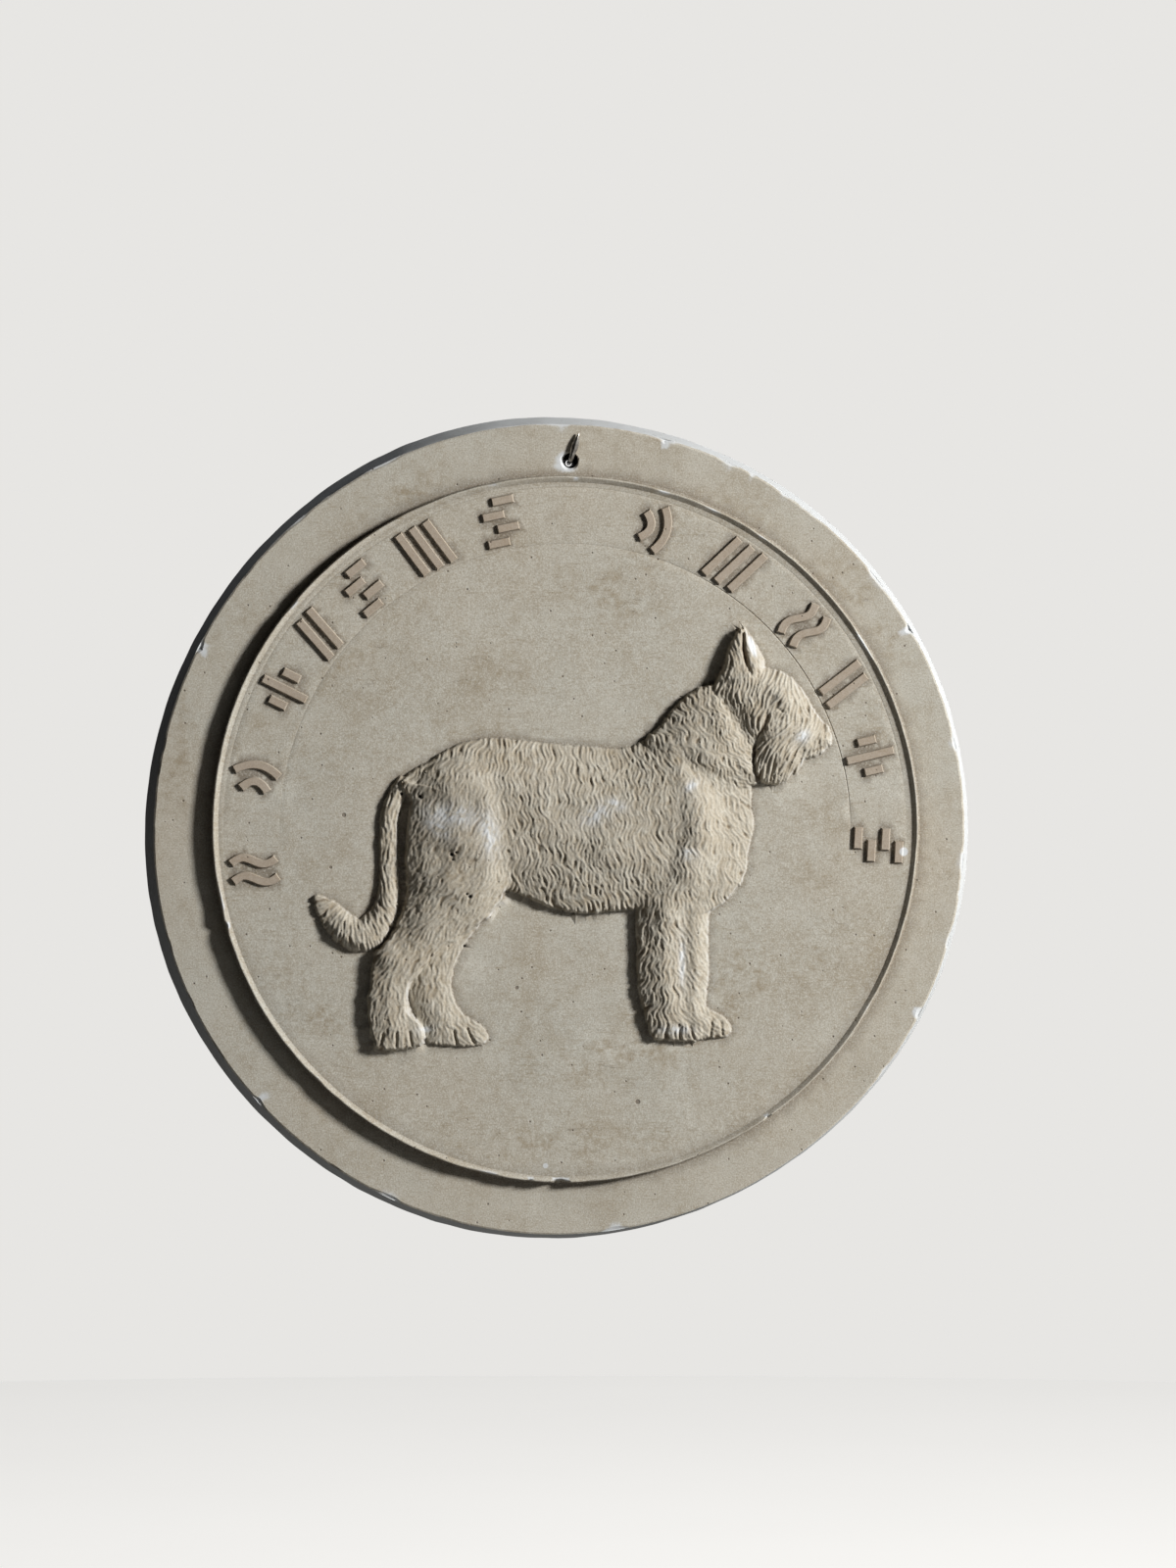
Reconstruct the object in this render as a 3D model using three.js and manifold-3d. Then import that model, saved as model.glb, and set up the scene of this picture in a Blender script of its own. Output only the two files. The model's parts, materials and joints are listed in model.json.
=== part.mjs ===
// A round plaster wall plaque. An outer ring carries a slightly raised inner disc, and on the
// disc's field a rough-coated dog stands in relief under an arc of shallow raised strokes.
// A bent steel nail stands in the hanging hole near the top.
// Millimetres, +Z up, the front faces -Y and the back lies on the plane y = 0.
// The shapes are worked out about the ring's centre, with u to the right, v up and h the
// height above the back. The finished group is moved so that its origin is the hole's axis.
import * as THREE from "three";
import { mergeVertices } from "three/addons/utils/BufferGeometryUtils.js";
import Module from "manifold-3d";

const wasm = await Module();
wasm.setup();

// Outer ring
const ringRadius = 155;
const ringThickness = 20;
const rimFlare = 3.5;
const frontSwellShare = 0.5;
const roundSegments = 72;

// The hand-poured outline swells and sinks a little: [degrees, width in degrees, mm].
const rimSwells = [
  [107, 22, 1.6],
  [195, 25, 1.5],
  [298, 30, -2.2],
];

// Inner disc, set a little off the ring's centre
const ringWidth = 20.2;
const discShift = [1.8, 0.7];
const stepHeight = 5;
const crestWidth = 0.5;
const bevelWidth = 1.7;
const bevelDrop = 1.3;
const castOverlap = 3;

// Fine incised arcs that bound the row of strokes
const bandInset = 2;
const bandDepth = 21.6;
const bandStart = -12;
const bandEnd = 196;
const incisedWidth = 0.7;
const incisedDepth = 0.3;
const incisedSteps = 32;

// Raised strokes along the upper arc
const strokeHeight = 1.2;
const strokeWidth = 3.2;
const strokeGap = 2.6;
const strokeSway = 1.7;
const strokeMargin = 0.9;
const pairShare = 0.6;
const staggerRows = 4;
const staggerRise = 0.56;
const staggerShift = 0.4;
const staggerHalf = 0.75;
const curveSteps = 8;

// Hanging hole and its nail
const holeRadius = 3;
const holeBackRadius = 1.2;
const holeInset = 13.35;
const holeAngle = 88.5;
const holeSegments = 16;
const holeChipWidth = 0.9;
const holeChipDepth = 0.9;
const nailClearance = 0.3;
const nailFaceGap = 0.35;
const nailRecess = 0.4;
const nailBendRadius = 2.2;
const nailRise = 10.4;
const nailLean = 3.2;
const leafHalfWidth = 1.5;
const leafHalfThickness = 0.7;
const tipRadius = 0.25;
const nailSides = 8;

// The dog, drawn at one height and scaled to the height wanted
const figureHeight = 159.2;
const drawnHeight = 159.2;
const figureScale = figureHeight / drawnHeight;
const outlineStep = 2.4;
const drawnShare = 0.32;
const reliefSink = 1;
const leastRelief = 0.3;
const wallLean = 1.3;
const crownSoftness = 2;
const crownFalloff = 3;

// Locks of the coat. The drifts are slow turns of the locks: [mm, length along, length across].
const lockPitch = 6.2;
const lockHeight = 0.75;
const lockSinkShare = 0.6;
const lockFullRise = 4;
const lockSway = 1.5;
const lockWave = 15;
const lockDrifts = [
  [1.6, 11, 17],
  [1.2, -23, 9],
];

const discRadius = ringRadius - ringWidth;
const stepTop = ringThickness + stepHeight;
const fieldHeight = stepTop - bevelDrop;
const fieldRadius = discRadius - crestWidth - bevelWidth;
const bandOuter = fieldRadius - bandInset;
const bandInner = bandOuter - bandDepth;
const degree = Math.PI / 180;
const holeShift = polar(ringRadius - holeInset, holeAngle);
const nailRadius = holeBackRadius - nailClearance;

// A place on the front, from a radius and an angle in degrees from the right, going left
function polar(radius, angle) {
  return [radius * Math.cos(angle * degree), radius * Math.sin(angle * degree)];
}

// Solids

function solidFrom(geometry) {
  const bare = geometry.clone();
  bare.deleteAttribute("normal");
  bare.deleteAttribute("uv");
  const merged = mergeVertices(bare, 1e-4);
  return new wasm.Manifold(
    new wasm.Mesh({
      numProp: 3,
      vertProperties: new Float32Array(merged.attributes.position.array),
      triVerts: new Uint32Array(merged.index.array),
    }),
  );
}

function geometryFrom(solid) {
  const mesh = solid.getMesh();
  const geometry = new THREE.BufferGeometry();
  geometry.setAttribute("position", new THREE.BufferAttribute(mesh.vertProperties, 3));
  geometry.setIndex(new THREE.BufferAttribute(mesh.triVerts, 1));
  geometry.computeVertexNormals();
  return geometry;
}

// A turned solid about the plaque's axis: rows of [radius, height above the back].
function turned(profile, segments) {
  const points = profile.map(([radius, height]) => new THREE.Vector2(radius, height));
  const lathe = new THREE.LatheGeometry(points, segments);
  lathe.rotateX(Math.PI);
  return lathe;
}

// Moves what was built about the ring's centre to another [u, v].
function shifted(geometry, [u, v]) {
  geometry.translate(u, 0, v);
  return geometry;
}

// The plain casting

function rimSwellAt(angle) {
  let swell = 0;
  for (const [centre, width, height] of rimSwells) {
    const away = Math.abs(((angle - centre + 540) % 360) - 180);
    swell += height * Math.exp(-((away / width) ** 2));
  }
  return swell;
}

function outerRing() {
  const lathe = turned(
    [
      [0, 0],
      [ringRadius + rimFlare, 0],
      [ringRadius, ringThickness],
      [0, ringThickness],
    ],
    roundSegments,
  );
  const position = lathe.attributes.position;
  for (let i = 0; i < position.count; i++) {
    const u = position.getX(i);
    const v = position.getZ(i);
    const radius = Math.hypot(u, v);
    if (radius < discRadius) continue;
    const angle = (Math.atan2(v, u) / degree + 360) % 360;
    const onBack = radius > ringRadius + rimFlare / 2;
    const stretch = 1 + (rimSwellAt(angle) * (onBack ? 1 : frontSwellShare)) / radius;
    position.setX(i, u * stretch);
    position.setZ(i, v * stretch);
  }
  return solidFrom(lathe);
}

function innerDisc() {
  const foot = ringThickness - castOverlap;
  const lathe = turned(
    [
      [0, foot],
      [discRadius, foot],
      [discRadius, stepTop],
      [discRadius - crestWidth, stepTop],
      [fieldRadius, fieldHeight],
      [0, fieldHeight],
    ],
    roundSegments,
  );
  return solidFrom(shifted(lathe, discShift));
}

// Raised strokes

// A flat bar of even width and depth along a line of [across, up] points
function barAlong(line, width, depth) {
  const half = width / 2;
  const left = [];
  const right = [];
  line.forEach(([x, y], i) => {
    const before = line[Math.max(i - 1, 0)];
    const after = line[Math.min(i + 1, line.length - 1)];
    const length = Math.hypot(after[0] - before[0], after[1] - before[1]);
    const across = [-(after[1] - before[1]) / length, (after[0] - before[0]) / length];
    left.push(new THREE.Vector2(x + across[0] * half, y + across[1] * half));
    right.unshift(new THREE.Vector2(x - across[0] * half, y - across[1] * half));
  });
  const shape = new THREE.Shape([...left, ...right]);
  return new THREE.ExtrudeGeometry(shape, { depth, bevelEnabled: false });
}

// A shallow groove along the field at one radius, from one end of the band to the other
function incisedArc(radius) {
  const line = Array.from({ length: incisedSteps + 1 }, (_, i) => {
    return polar(radius, bandStart + ((bandEnd - bandStart) * i) / incisedSteps);
  });
  const bar = barAlong(line, incisedWidth, stepHeight);
  bar.translate(0, 0, fieldHeight - incisedDepth);
  bar.rotateX(Math.PI / 2);
  return solidFrom(shifted(bar, discShift));
}

const strokeReach = bandDepth / 2 - strokeMargin;
const strokeSpacing = strokeWidth + strokeGap;

function straight(x0, y0, x1, y1) {
  return [
    [x0, y0 * strokeReach],
    [x1, y1 * strokeReach],
  ];
}

function curved(pointAt) {
  return Array.from({ length: curveSteps + 1 }, (_, i) => pointAt(i / curveSteps));
}

// Two wavy strokes side by side
function wavePair() {
  return [-pairShare, pairShare].map((side) =>
    curved((t) => [
      side * strokeSpacing + strokeSway * Math.sin(t * 2 * Math.PI),
      (1 - 2 * t) * strokeReach,
    ]),
  );
}

// Two bows, one inside the other, that bulge to one side: [place across, share of the reach]
function bowPair() {
  return [
    [0.8, 1],
    [-0.3, 0.6],
  ].map(([side, share]) =>
    curved((t) => {
      const across = 2 * t - 1;
      return [side * strokeSpacing - 2 * strokeSway * across ** 2, across * share * strokeReach];
    }),
  );
}

// Slanted strokes of even length
function slants(count, side) {
  return Array.from({ length: count }, (_, i) => {
    const x = (i - (count - 1) / 2) * strokeSpacing;
    return straight(x - side * strokeSway, -1, x + side * strokeSway, 1);
  });
}

// Short level strokes, stacked and staggered
function staggered() {
  return Array.from({ length: staggerRows }, (_, row) => {
    const y = (row - (staggerRows - 1) / 2) * staggerRise;
    const x = (row % 2 ? staggerShift : -staggerShift) * strokeSpacing;
    return straight(x - staggerHalf * strokeSpacing, y, x + staggerHalf * strokeSpacing, y);
  });
}

// A tall stroke between two short ones: [place across, share of the reach]
function tallAndShort() {
  return [
    [-1, 0.4],
    [0, 1],
    [1, 0.4],
  ].map(([side, share]) => {
    return straight(side * strokeSpacing, -share, side * strokeSpacing, share);
  });
}

// Where each group of strokes stands on the arc, in degrees, and what it is made of
const strokeGroups = [
  [187.5, wavePair],
  [170.5, bowPair],
  [153.6, tallAndShort],
  [141.6, () => slants(2, 1)],
  [130, staggered],
  [116.5, () => slants(3, -1)],
  [102, staggered],
  [73.5, bowPair],
  [57.5, () => slants(3, 1.4)],
  [40.5, wavePair],
  [27.5, () => slants(2, -1)],
  [13.5, tallAndShort],
  [-3, staggered],
];

function raisedStrokes() {
  const solids = [];
  const middle = (bandOuter + bandInner) / 2;
  for (const [angle, lines] of strokeGroups) {
    for (const line of lines()) {
      const bar = barAlong(line, strokeWidth, strokeHeight + reliefSink);
      bar.translate(0, middle, fieldHeight - reliefSink);
      bar.rotateZ((angle - 90) * degree);
      bar.rotateX(Math.PI / 2);
      solids.push(solidFrom(shifted(bar, discShift)));
    }
  }
  return solids;
}

// The dog. Each form has a closed outline of [u, v] through its leading points, heights above
// the field at a few places, edge heights to the left, right, top and bottom, the reach of
// its rounding in from the edge, the lean of its locks in degrees from upright, and how finely
// it is cut. Some have dents or swellings: [u, v, radius, height].
const dogForms = {
  farHindLeg: {
    outline: [
      [-27, -28], [-31, -35], [-36, -41.5], [-39.5, -47.5], [-41.6, -53], [-42.2, -59],
      [-40.6, -65.5], [-37.5, -70.2], [-33, -73], [-29.6, -76], [-27.9, -79.4], [-31, -81.2],
      [-41, -81.6], [-50, -80.6], [-53.6, -75], [-56.4, -67], [-58.4, -58], [-52, -42],
      [-40, -30],
    ],
    heights: [[-36, -36, 4.4], [-48, -58, 3.9], [-45, -70, 3.7], [-34, -77, 3]],
    edges: [2.2, 1, 1.8, 2.4],
    reach: 6,
    lean: 12,
    grain: 2.9,
  },
  farForeleg: {
    outline: [
      [46, -24], [57, -27], [56.2, -33], [55.9, -45], [56.1, -55], [55.3, -63], [55.2, -68],
      [59, -69.6], [62.6, -72], [64.9, -75.8], [63.6, -78], [57, -78.8], [50, -79.2],
      [46.5, -70], [45.5, -50],
    ],
    heights: [[50, -30, 5], [51, -55, 4.3], [52, -70, 4.4], [61, -75, 3]],
    edges: [2.4, 1.2, 1.4, 2.4],
    reach: 6,
    lean: -8,
    grain: 2.9,
  },
  tail: {
    outline: [
      [-55.5, 19.5], [-59.5, 14], [-62.2, 6], [-62.6, -6], [-62.5, -18], [-62.6, -29],
      [-64.6, -36], [-68, -41.6], [-73, -45], [-79.4, -45.4], [-85.4, -41.8], [-89.8, -37],
      [-92.6, -31.2], [-94.3, -25.2], [-89.4, -26], [-84.8, -28.6], [-80.6, -32.4],
      [-77, -33.8], [-73.6, -31.6], [-70.4, -27], [-69, -18], [-69, -4], [-68.4, 7],
      [-65.6, 14.5], [-61, 20.5],
    ],
    heights: [[-62, 14, 4.4], [-66, -10, 4.2], [-68, -34, 5], [-80, -39, 5], [-92, -28, 2.6]],
    edges: [2.8, 1.8, 2, 2.6],
    reach: 3.4,
    lean: 0,
    grain: 2.7,
  },
  trunk: {
    outline: [
      [-60.5, 18.5], [-56, 22.8], [-50, 26.3], [-45, 29.5], [-40, 32.2], [-34, 34.2],
      [-25, 35], [-12, 33.8], [0, 32.6], [12, 31.6], [25, 31.2], [33, 34.6], [42, 40],
      [60, 34], [72, 22], [72.2, 12], [73.2, 2], [71.3, -7], [69.4, -18], [64.6, -24],
      [57, -30], [44, -32], [30, -29.6], [20, -30], [11, -30.8], [0, -29.5], [-10, -26],
      [-20.5, -22.3], [-36, -24], [-52, -22], [-58.4, -14], [-58.8, -6], [-57.6, 5],
      [-56.6, 11],
    ],
    heights: [
      [-45, 12, 8.4], [-24, 14, 8.6], [0, 4, 9.2], [18, -6, 9.6], [14, -20, 8], [-10, -14, 8],
      [45, 10, 9.6], [62, -4, 7.2], [66, 12, 6.4],
    ],
    edges: [5, 1.2, 1.4, 4.4],
    reach: 21,
    lean: 6,
    grain: 3.3,
  },
  nearHindLeg: {
    outline: [
      [-52, 22], [-42, 27.5], [-31, 27], [-23.5, 20], [-19.6, 9], [-19, -4], [-19.6, -14],
      [-21.4, -21.6], [-25, -28], [-30.5, -34.4], [-39, -39.6], [-47.5, -45.4], [-53.4, -51.6],
      [-58.2, -57.6], [-59.9, -64], [-59.4, -69.4], [-55.6, -72.6], [-53, -77.4],
      [-52.2, -81.4], [-60, -82.4], [-70, -82.2], [-71.8, -77], [-72.9, -70], [-73.1, -64],
      [-72, -57.6], [-71.4, -52], [-70.4, -47.2], [-66.8, -43], [-63.2, -38.4], [-60.4, -32],
      [-58.3, -24], [-58.6, -10], [-57.8, 3], [-56.4, 13],
    ],
    heights: [
      [-38, 14, 9.8], [-36, -2, 10.8], [-40, -18, 10], [-48, -32, 8.6], [-62, -46, 7.8],
      [-66, -58, 7.2], [-66, -68, 7], [-60, -77, 6.4],
    ],
    edges: [5.6, 5.2, 4, 4.6],
    reach: 11,
    lean: 22,
    grain: 3.15,
    swells: [[-66, -47, 5, 1.2], [-62, -77, 4, 0.6]],
  },
  nearForeleg: {
    outline: [
      [44, 30], [37.6, 24], [36.8, 15], [38.4, 8], [38.2, 0], [36.2, -8], [34.8, -15],
      [31.6, -20], [28.6, -25], [29.4, -32], [29.4, -42], [29.6, -52], [30.2, -61],
      [32, -68], [33.6, -74], [35.4, -78.6], [44, -79.6], [52.4, -79.2], [53.4, -75],
      [50.8, -70], [49.6, -62], [49.2, -50], [49.2, -38], [50.6, -30], [55, -25], [60.6, -15],
      [63.2, -1], [62, 12], [55, 24],
    ],
    heights: [
      [50, 18, 10.2], [52, 2, 11], [50, -12, 10], [44, -26, 8.6], [39.5, -45, 8.2],
      [40, -62, 7.8], [43, -74, 6.8],
    ],
    edges: [5.6, 3.2, 3, 4.6],
    reach: 10,
    lean: -4,
    grain: 3.15,
  },
  neck: {
    outline: [
      [33, 34.2], [38.6, 39.4], [41.4, 43.6], [45, 48], [48.4, 51.2], [52, 53.4],
      [56, 54.6], [61, 55], [68, 48], [74, 38], [76.4, 28], [74.6, 19], [67, 16], [55, 16],
      [44, 22],
    ],
    heights: [[44, 36, 8.4], [53, 45, 8.2], [64, 40, 8.6], [69, 27, 8.2], [56, 24, 9.4]],
    edges: [6.4, 2, 5, 2],
    reach: 13,
    lean: -24,
    grain: 2.8,
  },
  head: {
    outline: [
      [59.2, 53.2], [60.4, 58], [63, 62.8], [68, 65.5], [74, 65], [78, 62], [84, 60.2],
      [88, 57.9], [91.4, 54.6], [94.3, 50], [96.6, 45.6], [99, 42.2], [101.4, 40],
      [103, 37.6], [103.2, 34.8], [101.4, 31.8], [97.8, 29.2], [88, 28], [77, 30],
      [70, 36], [64.5, 45],
    ],
    heights: [
      [70, 58, 9.6], [80, 54, 9.6], [84, 46, 8.4], [74, 42, 9.4], [93, 40, 7.4], [101, 35, 5.4],
    ],
    edges: [6.4, 1.6, 2.6, 3],
    reach: 9,
    lean: -38,
    grain: 2.4,
    swells: [[83.6, 46.2, 2.4, -2.2], [84.5, 51, 4, 1.2], [100, 35, 3, 0.8], [94, 31, 2.6, -1.2]],
  },
  beard: {
    outline: [
      [79, 43.5], [85, 45], [92, 42.5], [97.5, 37], [98, 31.5], [93.4, 28.4], [90.6, 24.4],
      [87, 20.6], [82.4, 18.6], [77.8, 19.4], [75.2, 23], [74.8, 29], [76, 36],
    ],
    heights: [[84, 40, 9.8], [82, 30, 10.2], [92, 34, 8.2], [81, 22, 8]],
    edges: [6, 3, 4.6, 5],
    reach: 6,
    lean: -20,
    grain: 2.4,
  },
  ear: {
    outline: [
      [60.6, 57], [62.8, 62.4], [64.2, 68.4], [66.6, 73.2], [69.2, 76.9], [72.2, 76.2],
      [75.8, 71.8], [77.3, 67.2], [76.6, 62], [73.8, 56.4], [67, 54.5],
    ],
    heights: [[66, 62, 10], [68.5, 70, 8.6], [70, 75.5, 7.6], [74, 68, 9.2], [74, 60, 10]],
    edges: [6.4, 4, 6, 5],
    reach: 4,
    lean: -8,
    grain: 2.4,
    swells: [[70.4, 70, 2, -1.8], [71, 64, 2, -2.2], [72.4, 59, 2, -1.6]],
  },
};

// The figure's forms can be drawn at another size, and their heights follow it.
function scaledForm(form) {
  return {
    ...form,
    outline: form.outline.map(([u, v]) => [u * figureScale, v * figureScale]),
    heights: form.heights.map((place) => place.map((size) => size * figureScale)),
    edges: form.edges.map((height) => height * figureScale),
    reach: form.reach * figureScale,
    grain: form.grain * figureScale,
    swells: (form.swells ?? []).map((swell) => swell.map((size) => size * figureScale)),
  };
}

// A smooth closed outline through the leading points, as short straight runs
function smoothOutline(points) {
  const corners = points.map(([u, v]) => new THREE.Vector3(u, v, 0));
  const curve = new THREE.CatmullRomCurve3(corners, true, "centripetal");
  const count = Math.round(curve.getLength() / outlineStep);
  return curve
    .getSpacedPoints(count)
    .slice(0, count)
    .map((p) => [p.x, p.y]);
}

// Distance from a place to the outline, positive inside, with the way out to its edge
function edgeDistance(outline, [u, v]) {
  let best = Infinity;
  let toward = [0, 0];
  let inside = false;
  outline.forEach(([au, av], i) => {
    const [bu, bv] = outline[(i + 1) % outline.length];
    const run = [bu - au, bv - av];
    const share = ((u - au) * run[0] + (v - av) * run[1]) / (run[0] ** 2 + run[1] ** 2);
    const near = Math.min(Math.max(share, 0), 1);
    const off = [au + near * run[0] - u, av + near * run[1] - v];
    const length = Math.hypot(...off);
    if (length < best) {
      best = length;
      toward = off;
    }
    const crosses = av > v !== bv > v;
    if (crosses && u < au + ((v - av) / (bv - av)) * run[0]) inside = !inside;
  });
  const sign = inside ? 1 : -1;
  const size = best || 1;
  return {
    distance: sign * best,
    outward: [(sign * toward[0]) / size, (sign * toward[1]) / size],
    toward,
  };
}

// Heights between the stated places, weighted by nearness
function crownHeight(form, [u, v]) {
  let total = 0;
  let weights = 0;
  for (const [hu, hv, height] of form.heights) {
    const away = Math.hypot(u - hu, v - hv, crownSoftness);
    const weight = 1 / away ** crownFalloff;
    total += weight * height;
    weights += weight;
  }
  return total / weights;
}

// Edge heights change smoothly with the way the edge faces
function edgeHeight(form, [ou, ov]) {
  const [left, right, top, bottom] = form.edges;
  return (ou < 0 ? left : right) * ou ** 2 + (ov > 0 ? top : bottom) * ov ** 2;
}

// Wavy locks: rounded ridges that sway as they run down the coat
function lockRelief(form, [u, v]) {
  const lean = form.lean * degree;
  const along = v * Math.cos(lean) + u * Math.sin(lean);
  const across = u * Math.cos(lean) - v * Math.sin(lean);
  let drift = 0;
  for (const [size, down, over] of lockDrifts) drift += size * Math.sin(along / down + across / over);
  const sway = lockSway * Math.sin((2 * Math.PI * along) / lockWave + drift);
  const ridge = Math.abs(Math.sin((Math.PI * (across + sway + drift)) / lockPitch));
  return lockHeight * (ridge - lockSinkShare);
}

// Height above the field: a rounded crown with its locks, which are shallower where it is low
function heightOnForm(form, place, edge) {
  const rim = edgeHeight(form, edge.outward);
  const inward = Math.min(Math.max(edge.distance / form.reach, 0), 1);
  const dome = Math.sin((inward * Math.PI) / 2);
  const rise = rim + (crownHeight(form, place) - rim) * dome;
  const locks = lockRelief(form, place) * Math.min(1, rise / lockFullRise);
  let swelling = 0;
  for (const [u, v, radius, height] of form.swells) {
    const away = Math.hypot(place[0] - u, place[1] - v) / radius;
    swelling += height * Math.exp(-(away ** 2));
  }
  return Math.max(rise + locks + swelling, leastRelief);
}

// A grid of triangles over the outline. Points near the edge are drawn onto it, and
// triangles that cross the edge are cut there.
function gridInside(outline, pitch) {
  const us = outline.map(([u]) => u);
  const vs = outline.map(([, v]) => v);
  const rowStep = pitch * Math.sin(60 * degree);
  const columns = Math.ceil((Math.max(...us) - Math.min(...us)) / pitch) + 3;
  const rows = Math.ceil((Math.max(...vs) - Math.min(...vs)) / rowStep) + 3;
  const start = [Math.min(...us) - pitch, Math.min(...vs) - rowStep];
  const points = [];
  const indexAt = (i, j) => j * columns + i;
  for (let j = 0; j < rows; j++) {
    for (let i = 0; i < columns; i++) {
      const place = [start[0] + (i + (j % 2) / 2) * pitch, start[1] + j * rowStep];
      const edge = edgeDistance(outline, place);
      if (Math.abs(edge.distance) < pitch * drawnShare) {
        points.push({ place: [place[0] + edge.toward[0], place[1] + edge.toward[1]], depth: 0 });
      } else {
        points.push({ place, depth: edge.distance });
      }
    }
  }
  const cuts = new Map();
  const cutBetween = (a, b) => {
    const key = a < b ? `${a},${b}` : `${b},${a}`;
    if (!cuts.has(key)) {
      const share = points[a].depth / (points[a].depth - points[b].depth);
      const mid = [0, 1].map((k) => {
        return points[a].place[k] + share * (points[b].place[k] - points[a].place[k]);
      });
      const { toward } = edgeDistance(outline, mid);
      points.push({ place: [mid[0] + toward[0], mid[1] + toward[1]], depth: 0 });
      cuts.set(key, points.length - 1);
    }
    return cuts.get(key);
  };
  const triangles = [];
  const keepTriangle = (corners) => {
    const kept = [];
    corners.forEach((a, i) => {
      const b = corners[(i + 1) % 3];
      if (points[a].depth >= 0) kept.push(a);
      if (points[a].depth * points[b].depth < 0) kept.push(cutBetween(a, b));
    });
    if (!kept.some((k) => points[k].depth > 0)) return;
    for (let k = 2; k < kept.length; k++) triangles.push([kept[0], kept[k - 1], kept[k]]);
  };
  for (let j = 0; j + 1 < rows; j++) {
    for (let i = 0; i + 1 < columns; i++) {
      const [a, b, c, d] = [indexAt(i, j), indexAt(i + 1, j), indexAt(i, j + 1), indexAt(i + 1, j + 1)];
      if (j % 2) {
        keepTriangle([a, b, d]);
        keepTriangle([a, d, c]);
      } else {
        keepTriangle([a, b, c]);
        keepTriangle([b, d, c]);
      }
    }
  }
  return { places: points.map((p) => p.place), triangles };
}

// Edges that only one triangle uses, in that triangle's order
function openEdges(triangles) {
  const seen = new Set(triangles.flatMap(([a, b, c]) => [`${a},${b}`, `${b},${c}`, `${c},${a}`]));
  return triangles
    .flatMap(([a, b, c]) => [
      [a, b],
      [b, c],
      [c, a],
    ])
    .filter(([a, b]) => !seen.has(`${b},${a}`));
}

// One form of the dog as a closed solid, its foot sunk a little into the field
function carvedForm(drawn) {
  const form = scaledForm(drawn);
  const outline = smoothOutline(form.outline);
  const { places, triangles } = gridInside(outline, form.grain);
  const rim = new Set(openEdges(triangles).flat());
  const edges = places.map((place) => edgeDistance(outline, place));
  const positions = [];
  places.forEach((place, i) => {
    positions.push(place[0], -(fieldHeight + heightOnForm(form, place, edges[i])), place[1]);
  });
  places.forEach((place, i) => {
    const lean = rim.has(i) ? wallLean : 0;
    const [footU, footV] = [0, 1].map((k) => place[k] + edges[i].outward[k] * lean);
    positions.push(footU, -(fieldHeight - reliefSink), footV);
  });
  const below = places.length;
  const index = [];
  for (const [a, b, c] of triangles) {
    index.push(a, b, c);
    index.push(below + a, below + c, below + b);
  }
  for (const [a, b] of openEdges(triangles)) {
    index.push(a, below + a, below + b);
    index.push(a, below + b, b);
  }
  const geometry = new THREE.BufferGeometry();
  geometry.setAttribute("position", new THREE.Float32BufferAttribute(positions, 3));
  geometry.setIndex(index);
  return solidFrom(geometry);
}

// Cuts

// Chips on sharp edges: [degrees, size, flatness] on the ring's front edge and on the crest
const ringChips = [
  [153, 2.4, 0.6],
  [222, 1.8, 0.5],
  [30, 2.6, 0.5],
  [62, 1.6, 0.7],
  [75, 2, 0.5],
  [333, 2.2, 0.6],
];
const crestChips = [
  [269, 3.4, 0.4],
  [266, 1.6, 0.6],
  [305, 1.8, 0.5],
  [88, 1.6, 0.5],
  [196, 1.6, 0.5],
];

function chip(angle, radius, height, size, flatness, centre) {
  const lump = new THREE.IcosahedronGeometry(size);
  lump.scale(flatness, flatness, 1);
  lump.rotateY(-angle * degree);
  const [u, v] = polar(radius, angle);
  lump.translate(u + centre[0], -height, v + centre[1]);
  return solidFrom(lump);
}

function chips() {
  const onRing = ringChips.map(([angle, size, flatness]) => {
    const radius = ringRadius + rimSwellAt(angle) * frontSwellShare;
    return chip(angle, radius, ringThickness, size, flatness, [0, 0]);
  });
  const onCrest = crestChips.map(([angle, size, flatness]) =>
    chip(angle, discRadius, stepTop, size, flatness, discShift),
  );
  return [...onRing, ...onCrest];
}

// The hanging hole, narrow at the back and with plaster broken away round its mouth
function hangingHole() {
  const over = 1;
  const taper = (holeRadius - holeBackRadius) / ringThickness;
  const bore = new THREE.CylinderGeometry(
    holeBackRadius - taper * over,
    holeRadius + taper * over,
    ringThickness + 2 * over,
    holeSegments,
  );
  bore.translate(0, -ringThickness / 2, 0);
  const mouth = new THREE.CylinderGeometry(
    holeRadius,
    holeRadius + (holeChipWidth * (holeChipDepth + over)) / holeChipDepth,
    holeChipDepth + over,
    holeSegments,
  );
  mouth.translate(0, -(ringThickness + (over - holeChipDepth) / 2), 0);
  return solidFrom(shifted(bore, holeShift)).add(solidFrom(shifted(mouth, holeShift)));
}

function plasterPlaque() {
  let casting = outerRing().add(innerDisc());
  for (const radius of [bandOuter, bandInner]) casting = casting.subtract(incisedArc(radius));
  for (const stroke of raisedStrokes()) casting = casting.add(stroke);
  for (const form of Object.values(dogForms)) casting = casting.add(carvedForm(form));
  for (const cut of chips()) casting = casting.subtract(cut);
  casting = casting.subtract(hangingHole());
  const plaster = new THREE.MeshStandardMaterial({ color: 0xc9c3b0, roughness: 0.9, metalness: 0 });
  const mesh = new THREE.Mesh(geometryFrom(casting), plaster);
  mesh.name = "plaster_plaque";
  return mesh;
}

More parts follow.
